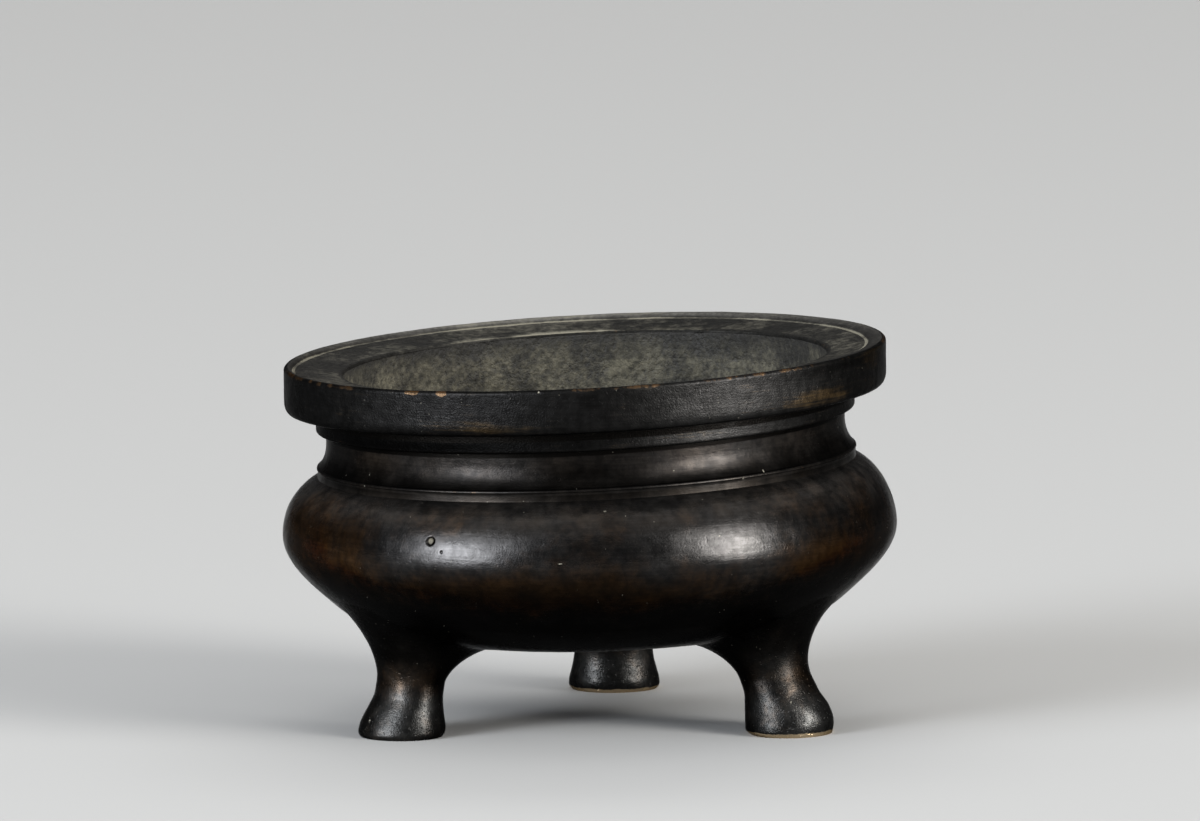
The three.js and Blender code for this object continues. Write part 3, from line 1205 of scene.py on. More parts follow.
@dataclass(frozen=True)
class Plug:
    """A small plug in the wall, in the hole that a core pin left."""

    name: str
    angle: float
    height: float = 43.7
    radius: float = 0.58
    hole: float = 0.86
    deep: float = 0.55
    sunk: float = 0.12
    domed: float = 0.12
    rough: float = 0.05
    rings: int = 9
    turns: int = 28

    def recess(self) -> Mark:
        """Gives the hole that the bowl's wall has round the plug."""
        return Mark(self.angle, self.height, self.hole * 2, self.hole * 2, self.deep, flat=True)

    def build(self, wall: Callable[[float], float], finishes: Finishes) -> None:
        """Builds the plug's worn end.

        Args:
            wall: The bowl's radius at a height.
            finishes: The materials.
        """
        angle = math.radians(self.angle)
        out = np.array([math.cos(angle), math.sin(angle), 0.0])
        side = np.array([-math.sin(angle), math.cos(angle), 0.0])
        up = np.array([0.0, 0.0, 1.0])
        slope = wall(self.height + 0.5) - wall(self.height - 0.5)
        face = wall(self.height) - self.sunk
        share = np.sin(np.linspace(0.0, 1.0, self.rings) * math.pi / 2)
        radii = np.concatenate([share, [1.0, 1.0]])[1:] * self.radius
        depth = np.concatenate([self.domed * share**4, [0.35, 0.8]])[1:]
        turn = np.linspace(0.0, FULL_TURN, self.turns, endpoint=False)
        across = radii[:, None] * np.cos(turn)
        rise = radii[:, None] * np.sin(turn)
        reach = face - depth[:, None] + slope * rise
        points = out * reach[..., None] + side * across[..., None]
        points = points + up * (self.height + rise)[..., None]
        points += out * self.rough * fractal(points + PLUG_SHIFT, 0.5)[..., None]
        mesh = skin_mesh(self.name, LEAN.settle(points), closed=False, poles=True)
        rim = np.repeat((depth > 0.1)[:, None], self.turns, axis=1)
        paint(mesh, warm=np.full(points.shape[:2], 0.5), hollow=rim * 0.5)
        piece = link(mesh, f"{self.name}_end")
        finish_piece(piece, self.name, "plug_bronze", finishes.plug)


@dataclass(frozen=True)
class Bowl:
    """The bowl with its neck, the disc in its floor and the plugs in its wall."""

    columns: int = 300
    fine: float = 0.2
    plain: float = 0.4
    coarse: float = 0.7
    plugs: tuple[Plug, ...] = (
        Plug("core_plug_front", 238.8),
        Plug("core_plug_right", 358.8),
        Plug("core_plug_back", 118.8),
    )
    warmth: float = 0.42
    groove: float = 59.9
    flange_r: float = 20.0
    boss_r: float = 17.0
    bottom: float = 18.0
    step: float = 19.6
    floor: float = 21.2
    hub_r: float = 0.4
    panel_columns: int = 180
    panel_rough: float = 0.06

    def stretches(self) -> tuple[Stretch, ...]:
        """Gives the bowl's closed outline, from the disc's edge out, up and back inside.

        Returns:
            Its stretches in order.
        """
        neck, inner = Skin.UPPER, Skin.INSIDE
        flange, boss, step = self.flange_r, self.boss_r, self.step
        groove, seat = (WAIST[0], self.groove), (WAIST[0], NECK_TOP)
        mouth, bore_top = (MOUTH_R, NECK_TOP), (MOUTH_R, NECK_TOP - 0.02)
        # Painted shade: the pairs at the ends of these stretches darken them from start to end. It
        # is near black on the underside and lower belly and fades out before the shoulder. It is
        # darker on the ring's foot and the neck's flare, and black in the groove under the skirt.
        return (
            Stretch(((flange, self.bottom), UNDERSIDE), self.coarse, rough=0.05, grime=(0.9, 0.9)),
            Stretch(HAUNCH_BEND, self.plain, rough=0.05, grime=(0.9, 0.8)),
            Stretch(BELLY_BEND, self.plain, rough=0.05, grime=(1.0, 0.25)),
            Stretch(SHOULDER_BEND, self.fine, rough=0.05, grime=(0.25, -0.5)),
            Stretch((SHOULDER, RING_FOOT), 0.12, neck, rough=0.02),
            Stretch((RING_FOOT, RING_LOW), 0.15, neck, rough=0.02, grime=(0.5, 0.7)),
            Stretch((RING_LOW, RING_PULL, RING_CREST), 0.1, neck, rough=0.02, grime=(0.4, 0.0)),
            Stretch((RING_CREST, CREST_PULL, RING_TOP), 0.1, neck, rough=0.02),
            Stretch(NECK_BEND, 0.25, neck, rough=0.04, grime=(0.7, 0.1)),
            Stretch((WAIST, groove), 0.4, neck, rough=0.03, grime=(0.0, 0.2)),
            Stretch((groove, seat), 0.25, neck, rough=0.03, grime=(1.2, 1.2)),
            Stretch((seat, mouth), 0.8, inner, rough=0.0),
            Stretch((mouth, bore_top), 0.01, inner, rough=0.3),
            Stretch((bore_top, BORE), self.plain, inner, rough=0.3),
            Stretch(BORE_BEND, self.plain, inner, rough=0.3),
            Stretch(WALL_BEND, self.coarse, inner, rough=0.3),
            Stretch(FLOOR_BEND, self.coarse, inner, rough=0.2),
            Stretch((FLOOR_EDGE, (boss, self.floor)), self.coarse, inner, rough=0.12),
            Stretch(((boss, self.floor), (boss, step)), 0.5, inner, rough=0.0),
            Stretch(((boss, step), (flange, step)), 0.8, inner, rough=0.0),
            Stretch(((flange, step), (flange, self.bottom)), 0.5, rough=0.0),
        )

    def build(self, finishes: Finishes) -> None:
        """Builds the bowl, the disc and the plugs.

        Args:
            finishes: The materials.
        """
        nicks = (
            Mark(241.3, 41.6, 0.65, 0.6, 0.2),
            Mark(222.0, 37.0, 0.9, 0.7, 0.1, pale=0.7),
            Mark(214.9, 55.4, 0.5, 2.4, 0.04, pale=0.8, skin=Skin.UPPER),
            Mark(215.2, 52.9, 0.7, 0.7, 0.05, pale=0.7, skin=Skin.UPPER),
            Mark(264.5, 39.6, 1.8, 0.5, 0.04, pale=0.65),
            Mark(273.5, 49.2, 1.4, 0.6, 0.04, pale=0.65),
            Mark(311.0, 53.6, 0.6, 1.2, 0.05, pale=0.8, skin=Skin.UPPER),
            Mark(305.0, 52.8, 0.7, 0.6, 0.05, pale=0.7, skin=Skin.UPPER),
            Mark(352.0, 45.0, 0.5, 1.8, 0.02, pale=0.6),
        )
        # Warmth in these patches is patina. Their brightening and darkening of the colour is
        # painted light: a painted highlight on the belly's left, and painted shade on the lower
        # belly, the neck and the inside.
        patches = (
            Patch(203.0, 39.0, 36.0, 22.0, 0.35, shine=0.3),
            Patch(250.0, 33.0, 50.0, 7.0, 0.45, shine=-0.55),
            Patch(275.0, 31.5, 40.0, 7.0, 0.35, shine=-0.45),
            Patch(322.0, 37.0, 26.0, 8.0, 0.4, shine=-0.35),
            Patch(266.0, 57.0, 14.0, 8.0, 0.2),
            Patch(218.0, 57.0, 16.0, 8.0, 0.3),
            Patch(245.0, 42.0, 30.0, 9.0, -0.25),
            Patch(299.0, 42.0, 36.0, 10.0, -0.25),
            Patch(270.0, 57.0, 34.0, 12.0, shine=-0.55),
            Patch(302.0, 55.0, 28.0, 4.0, shine=-0.3),
            Patch(272.0, 37.2, 30.0, 5.0, shine=-0.4),
            Patch(276.0, 46.0, 26.0, 5.0, shine=-0.35),
            Patch(55.0, 59.0, 60.0, 16.0, shine=-0.25),
            Patch(238.0, 58.0, 30.0, 9.0, shine=-0.35),
            Patch(242.0, 54.8, 46.0, 3.6, shine=-0.55),
            Patch(270.0, 48.6, 900.0, 5.6, haze=0.22),
        )
        marks = tuple(plug.recess() for plug in self.plugs) + nicks
        surface = Turning(
            self.stretches(), self.columns, marks, patches, seed=3.0, warmth=self.warmth
        ).surface()
        piece = turned_piece("bowl_wall", surface, surface.points)
        skins = (finishes.bowl, finishes.neck, finishes.inside)
        finish_piece(piece, "bowl_shell", "patinated_bronze", *skins)
        outline = np.concatenate([along(BELLY_BEND, 0.1), along(SHOULDER_BEND, 0.1)])
        for plug in self.plugs:
            plug.build(lambda z: float(np.interp(z, outline[:, 1], outline[:, 0])), finishes)
        self.build_panel(finishes)

    def build_panel(self, finishes: Finishes) -> None:
        """Builds the stepped disc let into the floor.

        Args:
            finishes: The materials.
        """
        rim, boss = self.flange_r - GAP, self.boss_r - GAP
        shelf = self.step - GAP
        low = along(((self.hub_r, self.bottom), (rim, self.bottom)), 0.5)
        side = along(((rim, self.bottom), (rim, shelf)), 0.3)[1:]
        ledge = along(((rim, shelf), (boss, shelf)), 0.5)[1:]
        rise = along(((boss, shelf), (boss, self.floor)), 0.4)[1:]
        top = along(((boss, self.floor), (self.hub_r, self.floor)), 0.5)[1:]
        outline = np.concatenate([low, side, ledge, rise, top])
        turn = np.linspace(0.0, FULL_TURN, self.panel_columns, endpoint=False)
        r, z = outline[:, 0:1], outline[:, 1:2]
        points = np.stack([r * np.cos(turn), r * np.sin(turn), z + 0.0 * turn], axis=-1)
        points[..., 2] += self.panel_rough * fractal(points + DISC_SHIFT, 4.0)
        mesh = skin_mesh("floor_disc", LEAN.settle(points), closed=False, poles=True)
        paint(mesh, warm=np.full(points.shape[:2], 0.5))
        ring_on_top = np.arange(len(outline) - 1) >= len(outline) - len(top) - 1
        fans = np.repeat([False, True], len(turn))
        on_top = np.concatenate([np.repeat(ring_on_top, len(turn)), fans])
        mesh.polygons.foreach_set("material_index", on_top.astype(np.int32))
        piece = link(mesh, "floor_disc")
        finish_piece(piece, "base_panel", "panel_bronze", finishes.panel, finishes.inside)


@dataclass(frozen=True)
class Collar:
    """The plate-like mouth: a flange over a short skirt that slips over the neck."""

    columns: int = 330
    rim_r: float = 60.0
    under: float = 64.9
    crest: float = 74.0
    edge: float = 0.8
    corner_in: float = 1.6
    corner_up: float = 2.4
    skirt_r: float = 53.7
    skirt_low: float = 60.7
    skirt_edge: float = 0.6
    skirt_lit: float = 2.4
    ledge_r: float = 57.3
    ledge_z: float = 73.1
    inner_r: float = 48.9
    inner_z: float = 72.0
    pull: float = 0.6
    off_centre: float = -1.0
    lip: float = 0.7
    shade_deep: float = 3.0
    settle_wide: float = 0.55
    seam: float = 0.01
    warmth: float = 0.14

    def stretches(self) -> tuple[Stretch, ...]:
        """Gives the collar's closed outline, from inside the skirt out, over the rim and down.

        Returns:
            Its stretches in order.
        """
        outside, ledge, inside = Skin.OUTSIDE, Skin.UPPER, Skin.INSIDE
        bore, seat = WAIST[0] + GAP, NECK_TOP + self.seam
        skirt, low = self.skirt_r, self.skirt_low
        rim, crest, under = self.rim_r, self.crest, self.under
        hem_in, hem_up = (skirt - self.skirt_edge, low), (skirt, low + self.skirt_edge)
        lit, root = (skirt, low + self.skirt_lit), (skirt, under)
        turn_in, turn_up = (rim - self.corner_in, under), (rim, under + self.corner_up)
        edge_low, edge_in = (rim, crest - self.edge), (rim - self.edge, crest)
        pull = (self.ledge_r + self.pull, crest)
        ledge_out, ledge_in = (self.ledge_r, self.ledge_z), (self.inner_r, self.inner_z)
        fall = (self.ledge_z - self.inner_z) / (self.ledge_r - self.inner_r)
        settled = (self.ledge_r - self.settle_wide, self.ledge_z - self.settle_wide * fall)
        lip, shaded = (MOUTH_R, self.inner_z - self.lip), (MOUTH_R, self.inner_z - self.shade_deep)
        foot, seated = (MOUTH_R, seat + 0.02), (MOUTH_R, seat)
        # Painted shade: near black on the flange's underside, on the skirt above its lit band and
        # inside the skirt's hem, and darkening the inside below the lip.
        dark = (0.9, 0.9)
        return (
            Stretch(((bore, low), hem_in), 0.2, outside, 0.01, grime=dark),
            Stretch((hem_in, (skirt, low), hem_up), 0.1, outside, 0.02, grime=(0.4, 0.4)),
            Stretch((hem_up, lit), 0.25, outside, 0.03),
            Stretch((lit, root), 0.25, outside, 0.03, grime=dark),
            Stretch((root, turn_in), 0.3, outside, 0.03, grime=dark),
            Stretch((turn_in, (rim, under), turn_up), 0.15, outside, 0.05),
            Stretch((turn_up, edge_low), 0.2, outside, 0.06),
            Stretch((edge_low, (rim, crest), edge_in), 0.08, outside, 0.05),
            Stretch((edge_in, pull, ledge_out), 0.12, ledge, 0.05, dust=0.1),
            Stretch((ledge_out, settled), 0.1, ledge, 0.05, dust=0.95),
            Stretch((settled, ledge_in), 0.25, ledge, 0.1, dust=0.3),
            Stretch((ledge_in, (MOUTH_R, self.inner_z), lip), 0.1, ledge, 0.1, dust=0.1),
            Stretch((lip, shaded), 0.3, inside, 0.3, grime=(0.85, 0.4)),
            Stretch((shaded, foot), 0.3, inside, 0.3, grime=(0.4, 0.1)),
            Stretch((foot, seated), 0.01, inside, 0.3),
            Stretch((seated, (bore, seat)), 0.8, inside, 0.0),
            Stretch(((bore, seat), (bore, low)), 0.6, inside, 0.0),
        )

    def build(self, finishes: Finishes) -> None:
        """Builds the collar.

        Args:
            finishes: The materials.
        """
        marks = (
            Mark(235.1, 73.8, 5.6, 2.4, 0.1, bare=0.74),
            Mark(241.6, 73.7, 3.6, 3.2, 0.1, bare=0.8),
            Mark(261.3, 73.7, 0.7, 0.7, 0.1, pale=0.75),
            Mark(341.0, 73.6, 7.0, 1.1, 0.02, bare=0.42),
        )
        # Warmth in these patches is patina. Their brightening and darkening of the colour is
        # painted light: painted highlights on the flange's and skirt's right, and painted shade on
        # their middle and left, on the ledge's front right and on the inside.
        patches = (
            Patch(252.0, 66.4, 22.0, 3.4, 0.42),
            Patch(322.0, 67.2, 26.0, 3.6, 0.5),
            Patch(340.0, 72.4, 20.0, 4.5, 0.4),
            Patch(301.0, 69.5, 36.0, 16.0, shine=0.8),
            Patch(272.0, 69.5, 26.0, 16.0, shine=-0.35),
            Patch(245.0, 69.5, 30.0, 16.0, shine=-0.4),
            Patch(300.0, 61.8, 30.0, 4.0, shine=0.9),
            Patch(228.0, 61.8, 96.0, 6.0, shine=-0.85),
            # A painted highlight along the back of the crest, with some pale dust.
            Patch(90.0, 74.0, 130.0, 1.1, shine=3.6, dust=0.34),
            # Pale dust on the back of the lip only, partly a painted highlight of the lip's edge.
            Patch(98.0, 71.9, 66.0, 0.26, dust=0.8),
            Patch(330.0, 72.6, 60.0, 2.4, shine=-0.55),
            Patch(80.0, 71.0, 150.0, 7.0, shine=-0.35),
            Patch(48.0, 68.5, 60.0, 6.0, shine=-0.2),
            Patch(150.0, 66.0, 50.0, 10.0, shine=0.25),
            Patch(70.0, 66.0, 60.0, 12.0, shine=-0.25),
        )
        surface = Turning(
            self.stretches(), self.columns, marks, patches, lump=9.0, seed=41.0, warmth=self.warmth
        ).surface()
        points = surface.points.copy()
        radii = np.hypot(points[..., 0], points[..., 1])
        row_r, row_z = radii.mean(axis=1), points[..., 2].mean(axis=1)
        crest_r = self.rim_r - self.edge
        reach = np.where(row_r > self.ledge_r, crest_r - self.ledge_r, self.ledge_r - self.inner_r)
        share = np.clip(1.0 - np.abs(row_r - self.ledge_r) / reach, 0.0, 1.0)
        share = np.where(row_z > self.inner_z - 0.1, share, 0.0)
        points[..., 0] += self.off_centre * share[:, None]
        piece = turned_piece("mouth_rim", surface, points)
        skins = (finishes.collar, finishes.ledge, finishes.inside)
        finish_piece(piece, "mouth_collar", "patinated_bronze", *skins)


@dataclass(frozen=True)
class Foot:
    """A trumpet-shaped hollow foot with the casting clay left in it.

    The outline has rows of height, reach outward, reach inward and reach to each side. A nick
    in front has its x, its height, half its width and half its height.
    """

    side: str
    angle: float
    ring: float
    reach: float
    inward: float
    outline: tuple[tuple[float, float, float, float], ...]
    worn: float = 0.0
    nicks: tuple[tuple[float, float, float, float], ...] = ()
    nick_pale: float = 0.62
    # The side towards this angle gets painted shade.
    dim_turn: float = 180.0
    dim: float = 0.6
    centre_x: float = 2.0
    turns: int = 132
    row: float = 0.3
    sole_rows: Pair = (0.12, 0.45)
    fillet_rows: int = 34
    sideways: float = 16.5
    rise_share: float = 0.45
    near_share: float = 0.55
    near_drop: float = 0.26
    end_drop: float = -0.1
    cool: float = 0.3
    brown: float = 0.52
    brown_z: float = 12.0
    brown_tall: float = 4.0
    # A painted highlight low on the flare, and painted shade higher up the stem.
    flare_highlight: float = 0.5
    flare_highlight_z: float = 5.6
    flare_highlight_tall: float = 2.6
    stem_z: float = 8.6
    stem_dim: float = 0.3
    dark_z: float = 12.0
    core_low: float = 5.3
    core_top: float = 3.4
    core_depth: float = 11.5
    core_lean: float = -1.5
    core_sunk: float = 0.8
    sole_band: float = 1.3
    edge_full: float = 1.15
    edge_tall: float = 0.8
    bare_tall: float = 1.5
    bare_most: float = 0.6
    hollow_dust: float = 0.8
    dim_sharp: float = 1.6
    quiet_tall: float = 1.5
    dark_tall: float = 5.0
    dark_share: float = 0.75
    lump: Pair = (6.0, 0.08)
    fine_lump: Pair = (1.5, 0.015)
    still_rows: int = 12
    pocket_rows: int = 14
    clay_rings: int = 16
    clay_rows: int = 8
    clay_rough: float = 0.3
    clay_crumb: float = 1.6
    clay_hub: float = 0.3
    clay_snug: float = 0.3

    def _place(self, across: np.ndarray, z: np.ndarray) -> np.ndarray:
        """Puts points that are given from the sole's centre where the foot stands.

        Args:
            across: Distances outward and to the side, along the last axis.
            z: Heights.

        Returns:
            The points.
        """
        angle = math.radians(self.angle)
        c, s = math.cos(angle), math.sin(angle)
        out, side = self.ring + across[..., 0], across[..., 1]
        x, y = self.centre_x + out * c - side * s, out * s + side * c
        return np.stack([x, y, z + 0.0 * out], axis=-1)

    def _oval(
        self, turn: np.ndarray, outward: np.ndarray, inward: np.ndarray, sideways: np.ndarray
    ) -> np.ndarray:
        """Follows the oval that reaches the given distances from the sole's centre.

        Args:
            turn: Angles round it.
            outward: Reach away from the bowl's axis.
            inward: Reach towards the axis.
            sideways: Reach to each side.

        Returns:
            The points, as distances outward and to the side.
        """
        along_reach, middle = (outward + inward) / 2, (outward - inward) / 2
        return np.stack([middle + along_reach * np.cos(turn), sideways * np.sin(turn)], axis=-1)

    def _stem(self, turn: np.ndarray) -> np.ndarray:
        """Gives the rings from the sole's edge up to where the foot flares into the bowl.

        Args:
            turn: Angles round the foot.

        Returns:
            The points, ring by ring.
        """
        rows = np.array(self.outline)
        heights, reaches = rows[:, 0], rows[:, 1:]
        slopes = np.gradient(reaches, heights, axis=0)
        z = np.arange(0.0, heights[-1], self.row)
        z = np.unique(np.concatenate([z, [*self.sole_rows, heights[-1]]]))
        low = np.clip(np.searchsorted(heights, z) - 1, 0, len(heights) - 2)
        tall = (heights[low + 1] - heights[low])[:, None]
        t = (z - heights[low])[:, None] / tall
        smooth = (
            (2 * t**3 - 3 * t**2 + 1) * reaches[low]
            + (t**3 - 2 * t**2 + t) * tall * slopes[low]
            + (3 * t**2 - 2 * t**3) * reaches[low + 1]
            + (t**3 - t**2) * tall * slopes[low + 1]
        )
        outward, inward, sideways = (smooth[:, k : k + 1] for k in range(3))
        return self._place(self._oval(turn, outward, inward, sideways), z[:, None])

    def _flare(self, turn: np.ndarray) -> np.ndarray:
        """Gives the rings of the fillet that runs out into the bowl's underside.

        Args:
            turn: Angles round the foot.

        Returns:
            The points, ring by ring.
        """
        underside = height_on(HAUNCH_BEND, BELLY_BEND)
        low_z, *low_reach = self.outline[-2]
        stem_z, *stem_reach = self.outline[-1]
        stem = self._oval(turn, *(np.full_like(turn, value) for value in stem_reach))
        below = self._oval(turn, *(np.full_like(turn, value) for value in low_reach))
        slope = (stem - below) / (stem_z - low_z)
        spread = self._oval(turn, self.reach, self.inward, self.sideways)

        def under(across: np.ndarray, drop: float) -> np.ndarray:
            """Puts points just below the bowl's underside.

            Args:
                across: Distances outward and to the side of the sole's centre.
                drop: How far below.

            Returns:
                The points.
            """
            flat = self._place(across, np.zeros(len(across)))
            flat[:, 2] = underside(np.hypot(flat[:, 0], flat[:, 1])) - drop
            return flat

        near = under(stem + (spread - stem) * self.near_share, self.near_drop)
        start = self._place(stem, np.full_like(turn, stem_z))
        rise = (near[:, 2] - stem_z) * self.rise_share
        pull = self._place(stem + slope * rise[:, None], stem_z + rise)
        end = under(spread, self.end_drop)
        t = np.linspace(0.0, 1.0, self.fillet_rows + 1)[1:, None, None]
        low = (1 - t) ** 3 * start + 3 * (1 - t) ** 2 * t * pull
        return low + 3 * (1 - t) * t**2 * near + t**3 * end

    def _pocket(self, turn: np.ndarray) -> np.ndarray:
        """Gives the rings of the hollow, from its top down to the sole.

        Args:
            turn: Angles round the foot.

        Returns:
            The points, ring by ring.
        """
        share = np.linspace(1.0, 0.0, self.pocket_rows)[:, None]
        radius = self.core_low + (self.core_top - self.core_low) * share
        out = self.core_lean * share + radius * np.cos(turn)
        across = np.stack([out, radius * np.sin(turn)], axis=-1)
        return self._place(across, self.core_depth * share)

    def build(self, finishes: Finishes) -> None:
        """Builds the foot and its clay.

        Args:
            finishes: The materials.
        """
        turn = np.linspace(0.0, FULL_TURN, self.turns, endpoint=False)
        pocket, stem, flare = self._pocket(turn), self._stem(turn), self._flare(turn)
        grid = np.concatenate([pocket, stem, flare])
        away = grid - grid.mean(axis=1, keepdims=True)
        away[..., 2] = 0.0
        away /= np.linalg.norm(away, axis=-1, keepdims=True)
        quiet = np.clip(grid[..., 2] / self.quiet_tall, 0.0, 1.0)
        fade = np.ones(len(grid))
        fade[-self.still_rows :] = np.linspace(1.0, 0.0, self.still_rows)
        lumps = fractal(grid + 17.0 * self.ring, self.lump[0]) * self.lump[1]
        lumps = lumps + fractal(grid + 5.0, self.fine_lump[0]) * self.fine_lump[1]
        grid = grid + away * (lumps * quiet * fade[:, None])[..., None]
        name = f"foot_{self.side}"
        mesh = skin_mesh(f"{name}_shell", LEAN.settle(grid), closed=False)
        self._dress(mesh, grid, away, len(pocket))
        finish_piece(link(mesh, f"{name}_shell"), name, "patinated_bronze", finishes.feet)
        self._build_core(turn, finishes)

    def _dress(
        self, mesh: bpy.types.Mesh, grid: np.ndarray, away: np.ndarray, pocket_rows: int
    ) -> None:
        """Paints the foot's wear, painted shade, nicks and painted highlights.

        Args:
            mesh: The foot's mesh.
            grid: Its points, upright.
            away: Each point's direction out from the middle of its ring.
            pocket_rows: How many rings, the first ones, are in the hollow.
        """
        height = grid[..., 2]
        rows = np.arange(len(grid))[:, None]
        on_stem = (rows >= pocket_rows) & (height < self.sole_band)
        rubbed_edge = self.worn * np.clip(self.edge_full - height / self.edge_tall, 0.0, 1.0)
        rubbed_sole = self.worn * np.clip(1.0 - height / self.bare_tall, 0.0, self.bare_most)
        brown = np.exp(-(((height - self.brown_z) / self.brown_tall) ** 2))
        pale = np.zeros_like(height)
        for x, z, wide, tall in self.nicks:
            share = np.exp(-(((grid[..., 0] - x) / wide) ** 2) - ((height - z) / tall) ** 2)
            pale = np.maximum(pale, self.nick_pale * share * (away[..., 1] < 0.0))
        # Painted light: shade on the side turned from the lamps, a highlight low on the flare, and
        # shade up the stem.
        aside = math.radians(self.dim_turn)
        facing = away[..., 0] * math.cos(aside) + away[..., 1] * math.sin(aside)
        shine = -self.dim * np.clip(facing * self.dim_sharp, 0.0, 1.0)
        shine += self.flare_highlight * np.exp(-(((height - self.flare_highlight_z) / self.flare_highlight_tall) ** 2))
        shine -= self.stem_dim * np.clip((height - self.stem_z) / self.flare_highlight_tall, 0.0, 1.0)
        paint(
            mesh,
            edge=np.where(on_stem, rubbed_edge, 0.0),
            warm=self.cool + (self.brown - self.cool) * brown,
            hollow=np.where(rows < pocket_rows, self.hollow_dust, 0.0) * np.ones_like(height),
            # Painted shade, darker up the fillet where it faces down.
            grime=self.dark_share * np.clip((height - self.dark_z) / self.dark_tall, 0.0, 1.0),
            bare=np.where(on_stem, rubbed_sole, 0.0),
            pale=pale,
            shine=shine,
        )

    def _build_core(self, turn: np.ndarray, finishes: Finishes) -> None:
        """Builds the broken face of the clay in the hollow.

        Args:
            turn: Angles round it.
            finishes: The materials.
        """
        share = self.core_sunk / self.core_depth
        low = self.core_low + (self.core_top - self.core_low) * share - GAP * self.clay_snug
        face = np.linspace(self.clay_hub, low, self.clay_rings)
        side = np.linspace(low, self.core_top - GAP, self.clay_rows)[1:]
        radii = np.concatenate([face, side])[:, None]
        deep = np.linspace(0.0, 1.0, self.clay_rows)[1:]
        depth = np.concatenate([np.zeros(self.clay_rings), deep])[:, None]
        lean = self.core_lean * (share + (1 - share) * depth)
        across = np.stack([lean + radii * np.cos(turn), radii * np.sin(turn)], axis=-1)
        top = self.core_depth - GAP
        points = self._place(across, self.core_sunk + (top - self.core_sunk) * depth)
        crumbs = np.abs(fractal(points + CLAY_SHIFT, self.clay_crumb))
        points[..., 2] += self.clay_rough * crumbs * (depth < 0.5)
        name = f"foot_core_{self.side}"
        mesh = skin_mesh(f"{name}_clay", LEAN.settle(points), closed=False, poles=True)
        finish_piece(link(mesh, f"{name}_clay"), name, "casting_clay", finishes.clay)


PLAIN_FOOT = (
    (0.0, 8.2, 8.0, 8.6),
    (0.5, 8.5, 8.3, 9.0),
    (1.8, 8.4, 8.6, 9.1),
    (3.8, 7.55, 8.35, 8.65),
    (5.8, 6.35, 8.15, 8.2),
    (8.0, 5.05, 8.15, 7.9),
    (10.5, 4.55, 8.6, 7.75),
)
HEELED_FOOT = (
    (0.0, 8.05, 7.9, 8.6),
    (0.5, 8.15, 8.7, 9.0),
    (1.8, 8.35, 9.0, 9.1),
    (3.8, 8.1, 9.2, 8.65),
    (5.8, 7.15, 9.25, 8.2),
    (8.0, 5.25, 9.35, 7.9),
    (10.5, 3.8, 10.4, 7.75),
)
FEET = (
    Foot(
        "front_left",
        angle=206.7,
        ring=44.5,
        reach=12.5,
        inward=21.5,
        outline=PLAIN_FOOT,
        nicks=((-44.1, 3.6, 0.3, 1.1),),
        dim_turn=0.0,
    ),
    Foot(
        "front_right",
        angle=330.0,
        ring=43.3,
        reach=9.0,
        inward=24.0,
        outline=HEELED_FOOT,
        worn=1.0,
        nicks=((38.6, 8.0, 0.9, 0.3), (39.5, 6.8, 0.35, 0.7)),
    ),
    Foot(
        "back",
        angle=86.7,
        ring=44.5,
        reach=12.5,
        inward=21.5,
        outline=PLAIN_FOOT,
        worn=0.8,
        dim_turn=270.0,
        dim=0.4,
    ),
)


@dataclass(frozen=True)
class SoftBox:
    """A soft lamp, placed by its direction from the burner.

    Its azimuth is 0 in front and grows towards the right, in degrees. Its distance and its two
    sizes are in metres.
    """

    name: str
    azimuth: float
    elevation: float
    distance: float
    wide: float
    tall: float
    brightness: float
    tint: Colour = (1.0, 1.0, 1.0)

    def build(self, target: Vector) -> None:
        """Builds the lamp.

        Args:
            target: The point that it faces, in metres.
        """
        lamp = bpy.data.lights.new(self.name, "AREA")
        lamp.shape = "RECTANGLE"
        lamp.size = self.wide
        lamp.size_y = self.tall
        lamp.energy = self.brightness * LAMP_WATTS * self.wide * self.tall
        lamp.color = self.tint
        placed = bpy.data.objects.new(self.name, lamp)
        bpy.context.scene.collection.objects.link(placed)
        a, e = math.radians(self.azimuth), math.radians(self.elevation)
        away = Vector((math.sin(a) * math.cos(e), -math.cos(a) * math.cos(e), math.sin(e)))
        placed.location = target + away * self.distance
        placed.rotation_euler = away.to_track_quat("Z", "Y").to_euler()
        placed.visible_camera = False


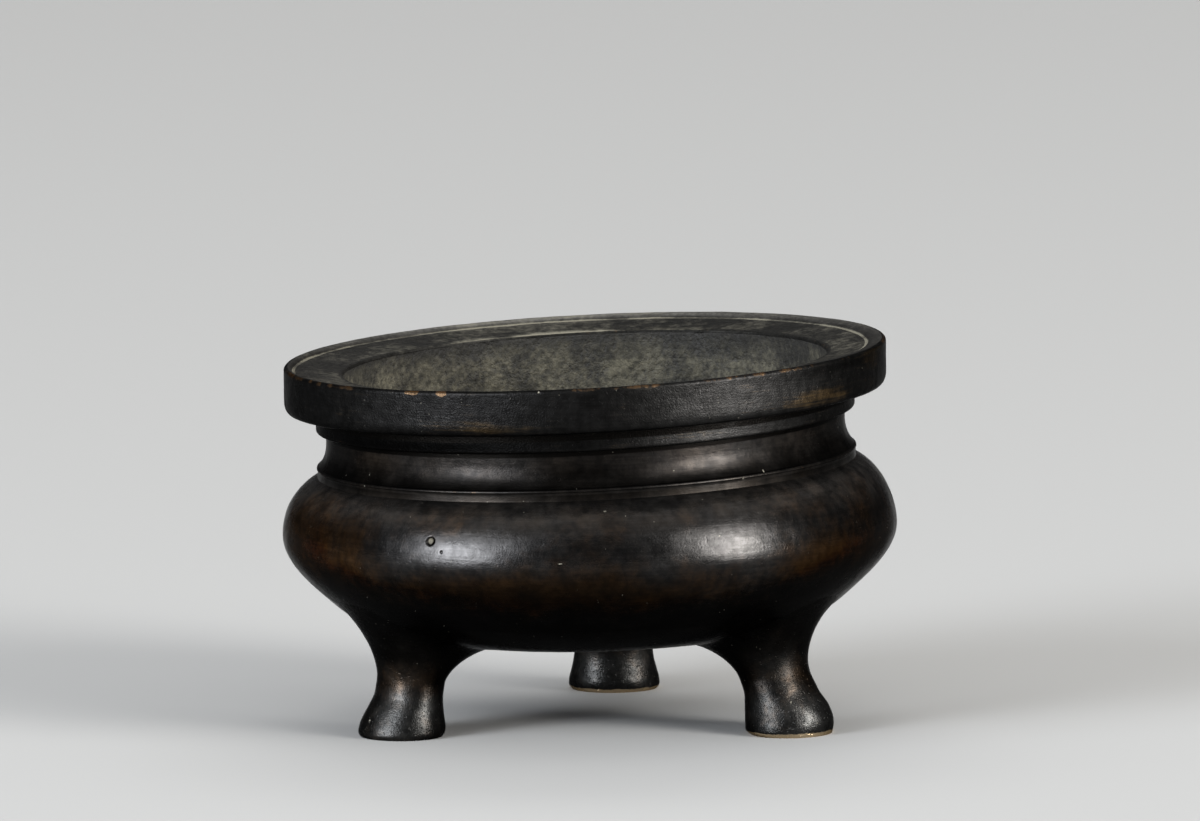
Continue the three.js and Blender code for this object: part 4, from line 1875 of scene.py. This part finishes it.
@dataclass(frozen=True)
class Studio:
    """The floor, the lamps, the pale surroundings and the camera.

    Distances and the floor's size are in metres, but aim_z is in millimetres. The frame's origin
    stands at origin_at in the image, in pixels from its upper left corner.
    """

    floor_size: float = 40.0
    floor_colour: Colour = (0.37, 0.37, 0.365)
    floor_rough: float = 0.9
    floor_shine: float = 0.1
    world_colour: Colour = (0.5, 0.5, 0.51)
    world_strength: float = 0.22
    aim_z: float = 40.0
    pitch: float = 7.3
    roll: float = 0.6
    distance: float = 4.0
    pixels_per_mm: float = 5.01
    image: Pair = (1200.0, 821.0)
    origin_at: Pair = (592.0, 718.9)
    sensor: float = 36.0
    clip_end: float = 100.0

    def build_floor(self) -> None:
        """Builds the pale floor."""
        half = self.floor_size / 2
        mesh = bpy.data.meshes.new("floor")
        corners = [(-half, -half, 0.0), (half, -half, 0.0), (half, half, 0.0), (-half, half, 0.0)]
        mesh.from_pydata(corners, [], [(0, 1, 2, 3)])
        floor = link(mesh, "floor")
        material = bpy.data.materials.new("pale_floor")
        material.use_nodes = True
        shader = material.node_tree.nodes["Principled BSDF"]
        shader.inputs["Base Color"].default_value = (*self.floor_colour, 1.0)
        shader.inputs["Roughness"].default_value = self.floor_rough
        shader.inputs["Specular IOR Level"].default_value = self.floor_shine
        mesh.materials.append(material)

    def build_light(self) -> None:
        """Builds the lamps and the pale world."""
        target = Vector((0.0, 0.0, self.aim_z * MM))
        cool, neutral = (0.9, 0.94, 1.0), (1.0, 0.985, 0.96)
        boxes = (
            SoftBox("left_halo", -53.0, 20.0, 4.0, 2.7, 2.8, 6.0, cool),
            SoftBox("left_core", -51.0, 13.0, 3.8, 1.1, 1.45, 20.0, cool),
            SoftBox("right_halo", 54.0, 20.0, 4.0, 2.2, 2.8, 5.6, neutral),
            SoftBox("right_core", 56.5, 14.0, 3.8, 1.1, 1.8, 20.0, neutral),
            SoftBox("back_box", 176.0, 50.0, 4.0, 2.8, 1.6, 2.6, neutral),
            SoftBox("top_box", 0.0, 90.0, 2.6, 6.0, 6.0, 0.62),
        )
        for box in boxes:
            box.build(target)
        world = bpy.data.worlds.new("pale_world")
        world.use_nodes = True
        back = world.node_tree.nodes["Background"]
        back.inputs["Color"].default_value = (*self.world_colour, 1.0)
        back.inputs["Strength"].default_value = self.world_strength
        bpy.context.scene.world = world

    def build_camera(self) -> None:
        """Builds the camera at the photographed angle and sets it."""
        e, w = math.radians(self.pitch), math.radians(self.roll)
        level_right = Vector((1.0, 0.0, 0.0))
        level_up = Vector((0.0, math.sin(e), math.cos(e)))
        forward = Vector((0.0, math.cos(e), -math.sin(e)))
        right = math.cos(w) * level_right - math.sin(w) * level_up
        up = math.sin(w) * level_right + math.cos(w) * level_up
        wide, high = self.image
        across = (self.origin_at[0] - wide / 2) / self.pixels_per_mm * MM
        rise = -(self.origin_at[1] - high / 2) / self.pixels_per_mm * MM
        camera = bpy.data.cameras.new("camera")
        camera.sensor_width = self.sensor
        focal_pixels = self.pixels_per_mm / MM * self.distance
        camera.lens = focal_pixels * self.sensor / wide
        camera.clip_end = self.clip_end
        placed = bpy.data.objects.new("camera", camera)
        bpy.context.scene.collection.objects.link(placed)
        place = -(self.distance * forward + across * right + rise * up)
        turned = Matrix((right, up, -forward)).transposed().to_4x4()
        placed.matrix_world = Matrix.Translation(place) @ turned
        bpy.context.scene.camera = placed

    def build(self) -> None:
        """Builds the whole studio."""
        self.build_floor()
        self.build_light()
        self.build_camera()
        bpy.context.scene.view_settings.view_transform = "Standard"


def main() -> None:
    """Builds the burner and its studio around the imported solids."""
    logging.basicConfig(level=logging.INFO, format="%(name)s: %(message)s")
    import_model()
    Studio().build()
    effects = Effects()
    effects.build()
    finishes = Finishes.build(effects)
    Bowl().build(finishes)
    Collar().build(finishes)
    for foot in FEET:
        foot.build(finishes)


if __name__ == "__main__":
    main()
